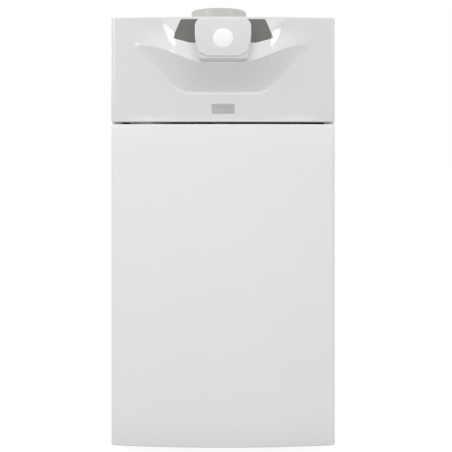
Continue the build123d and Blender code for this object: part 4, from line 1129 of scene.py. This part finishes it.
def makeThread(name, x, z, radius, slot):
    shape = threadShape
    pitch = shape["pitch"]
    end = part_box("gas_pipe")[1].y
    turns = int(shape["length"] / pitch) - 1
    mesh = bmesh.new()
    ring = [mesh.verts.new((x, end - shape["length"] + pitch * along, z + radius + rise))
            for along, rise in shape["ridge"]]
    edges = [mesh.edges.new(pair) for pair in zip(ring, ring[1:])]
    bmesh.ops.spin(mesh, geom=ring + edges, cent=(x, 0, z), axis=(0, 1, 0),
                   dvec=(0, pitch / shape["steps"], 0), angle=2 * pi * turns,
                   steps=turns * shape["steps"])
    addPiece(name, mesh, "cabinet", slot, (), 20)


# Gauge dial: printed ticks and figures on a thin ring

dialShape = {
    "inner": 0.0022, "outer": 0.0286, "thick": 0.0004, "sweep": radians(270), "ticks": 41,
    "tickOut": 0.0262, "tick": 0.0018, "longTick": 0.0036, "width": 0.00035, "figures": 5,
    "figureRadius": 0.0188, "figure": 0.0052, "ink": 0.00012, "every": 10, "recess": 0.0070,
    "warnFrom": 30, "warnRadius": 0.0276, "warnWidth": 0.0010, "warnLong": 0.0034, "steps": 72,
}


def figureMesh(figure, size, thick, place):
    curve = bpy.data.curves.new("figure", "FONT")
    curve.body = figure
    curve.size = size
    curve.align_x = "CENTER"
    curve.align_y = "CENTER"
    curve.extrude = thick
    holder = bpy.data.objects.new("figure", curve)
    bpy.context.scene.collection.objects.link(holder)
    seen = holder.evaluated_get(bpy.context.evaluated_depsgraph_get())
    data = bpy.data.meshes.new_from_object(seen)
    mesh = bmesh.new()
    mesh.from_mesh(data)
    bmesh.ops.transform(mesh, matrix=place, verts=mesh.verts)
    bpy.data.objects.remove(holder)
    bpy.data.meshes.remove(data)
    return mesh


def makeDial():
    shape = dialShape
    low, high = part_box("pressure_gauge")
    x, z, front = (low.x + high.x) / 2, (low.z + high.z) / 2, low.y + shape["recess"]
    face = front - shape["thick"]
    plate = spun(((shape["inner"], 0), (shape["outer"], 0), (shape["outer"], -shape["thick"]),
                  (shape["inner"], -shape["thick"])), (x, front, z), (0, 1, 0), shape["steps"])
    addPiece("dialPlate", plate, "cabinet", "light_plastic")
    centre = at((x, face, z), pi / 2, "X")
    ticks, warning, figures = bmesh.new(), bmesh.new(), []
    for index in range(shape["ticks"]):
        angle = shape["sweep"] * (index / (shape["ticks"] - 1) - 0.5)
        turn = centre @ at((0, 0, 0), -angle)
        long = shape["longTick"] if index % shape["every"] == 0 else shape["tick"]
        addBar(ticks, turn, 0, shape["tickOut"] - long / 2, shape["width"], long)
        if index >= shape["warnFrom"]:
            addBar(warning, turn, 0, shape["warnRadius"], shape["warnLong"],
                   shape["warnWidth"])
    for index in range(shape["figures"]):
        angle = shape["sweep"] * (index / (shape["figures"] - 1) - 0.5)
        spot = (shape["figureRadius"] * sin(angle), shape["figureRadius"] * cos(angle), 0)
        figures.append(figureMesh(str(index), shape["figure"], shape["ink"],
                                  centre @ at(spot)))
    addPiece("dialMarks", joined([ticks] + figures), "cabinet", "black_plastic", tidy=False)
    addPiece("dialWarning", warning, "cabinet", "red_enamel", tidy=False)


makeScrews()
for name, place in threads.items():
    makeThread(name, *place)
makeDial()
print("screws, threads and dial made")


# Floor, light and camera

stageShape = {
    "reach": 30, "pale": 0.36, "vary": 0.02, "warmth": (1.0, 0.94, 0.90), "glow": 0.87,
    "air": (0.985, 0.985, 1.0, 1), "airStrength": 0.645, "white": (1, 1, 1, 1),
}


def makeStage():
    shape = stageShape
    mesh = bmesh.new()
    bmesh.ops.create_grid(mesh, x_segments=1, y_segments=1, size=shape["reach"])
    data = dataFrom(mesh, "floor")
    floor = bpy.data.objects.new("floor", data)
    bpy.context.scene.collection.objects.link(floor)
    finish = newFinish("paleFloor")
    shade = finish.blend(finish.noise(3, 2),
                         tone(shape["pale"] * (1 - shape["vary"]), shape["warmth"]),
                         tone(shape["pale"] * (1 + shape["vary"]), shape["warmth"]))
    plain = finish.node("BsdfDiffuse", values={"Color": shade})
    glow = finish.node("Emission", values={"Color": shape["white"], "Strength": shape["glow"]})
    both = finish.node("AddShader", values={0: plain, 1: glow})
    seen = finish.node("LightPath", output="Is Camera Ray") + finish.node(
        "LightPath", output="Is Glossy Ray")
    shader = finish.node("MixShader", values={0: seen, 1: plain, 2: both})
    finish.node("OutputMaterial", values={"Surface": shader})
    data.materials.append(finish.owner)


lamps = {
    "leftBox": {"place": (-1.77, -1.66, 1.68), "target": (-0.1, -0.3, 0.85),
                "size": (0.4, 2.4), "power": 14.4, "roll": 0.8},
    "leftTall": {"place": (-1.63, -1.58, 1.92), "target": (-0.1, -0.29, 0.82),
                 "size": (0.25, 0.85), "power": 4, "roll": 0.09},
    "rightBox": {"place": (1.7, -1.6, 1.84), "target": (0.1, -0.29, 0.82),
                 "size": (0.3, 1.85), "power": 12.5, "roll": -0.25},
    "topBox": {"place": (0, -1.3, 3.0), "target": (0, 0, 0.4),
               "size": (2.4, 1.6), "power": 8.5, "colour": (0.97, 0.97, 1.0)},
    "frontBox": {"place": (0, -3.4, 0.35), "target": (0, 0, 0.45),
                 "size": (2.4, 0.6), "power": 10.5},
    "leftSide": {"place": (-2.4, 0.5, 1.5), "target": (0, 0, 0.9),
                 "size": (1.2, 1.2), "power": 8.5},
    "rightSide": {"place": (2.4, 0.5, 1.5), "target": (0, 0, 0.9),
                  "size": (1.2, 1.2), "power": 7},
}


def makeLight(name, place, target, size, power, colour=(1, 1, 1), roll=0):
    data = bpy.data.lights.new(name, "AREA")
    data.shape = "RECTANGLE"
    data.size, data.size_y = size
    data.energy = power
    data.color = colour
    lamp = bpy.data.objects.new(name, data)
    lamp.location = place
    lamp.rotation_mode = "QUATERNION"
    aim = (Vector(target) - Vector(place)).to_track_quat("-Z", "Y")
    lamp.rotation_quaternion = aim @ Quaternion((0, 0, 1), roll)
    bpy.context.scene.collection.objects.link(lamp)


def makeWorld():
    world = bpy.data.worlds.new("studio")
    bpy.context.scene.world = world
    finish = Finish(world)
    sky = finish.node("Background", values={
        "Color": stageShape["air"], "Strength": stageShape["airStrength"]})
    white = finish.node("Background", values={"Color": stageShape["white"]})
    for ray in ("Is Camera Ray", "Is Glossy Ray", "Is Transmission Ray"):
        seen = finish.node("LightPath", output=ray)
        sky = finish.node("MixShader", values={0: seen, 1: sky, 2: white})
    finish.node("OutputWorld", values={"Surface": sky})


photo = {"size": 452, "centreX": 223.05, "horizonY": 151.0, "focal": 848.5,
         "distance": 1.7, "eyeHeight": 0.605, "sensor": 36.0, "clipEnd": 80}


def makeCamera():
    data = bpy.data.cameras.new("camera")
    data.sensor_width = photo["sensor"]
    data.lens = photo["focal"] / photo["size"] * photo["sensor"]
    data.shift_x = (photo["size"] / 2 - photo["centreX"]) / photo["size"]
    data.shift_y = (photo["horizonY"] - photo["size"] / 2) / photo["size"]
    data.clip_end = photo["clipEnd"]
    camera = bpy.data.objects.new("camera", data)
    camera.location = (0, edgeY - photo["distance"], photo["eyeHeight"])
    camera.rotation_euler = (pi / 2, 0, 0)
    bpy.context.scene.collection.objects.link(camera)
    bpy.context.scene.camera = camera


makeStage()
for name, lamp in lamps.items():
    makeLight(name, **lamp)
makeWorld()
makeCamera()
bpy.context.scene.view_settings.view_transform = "Standard"
print("stage, lights and camera made")
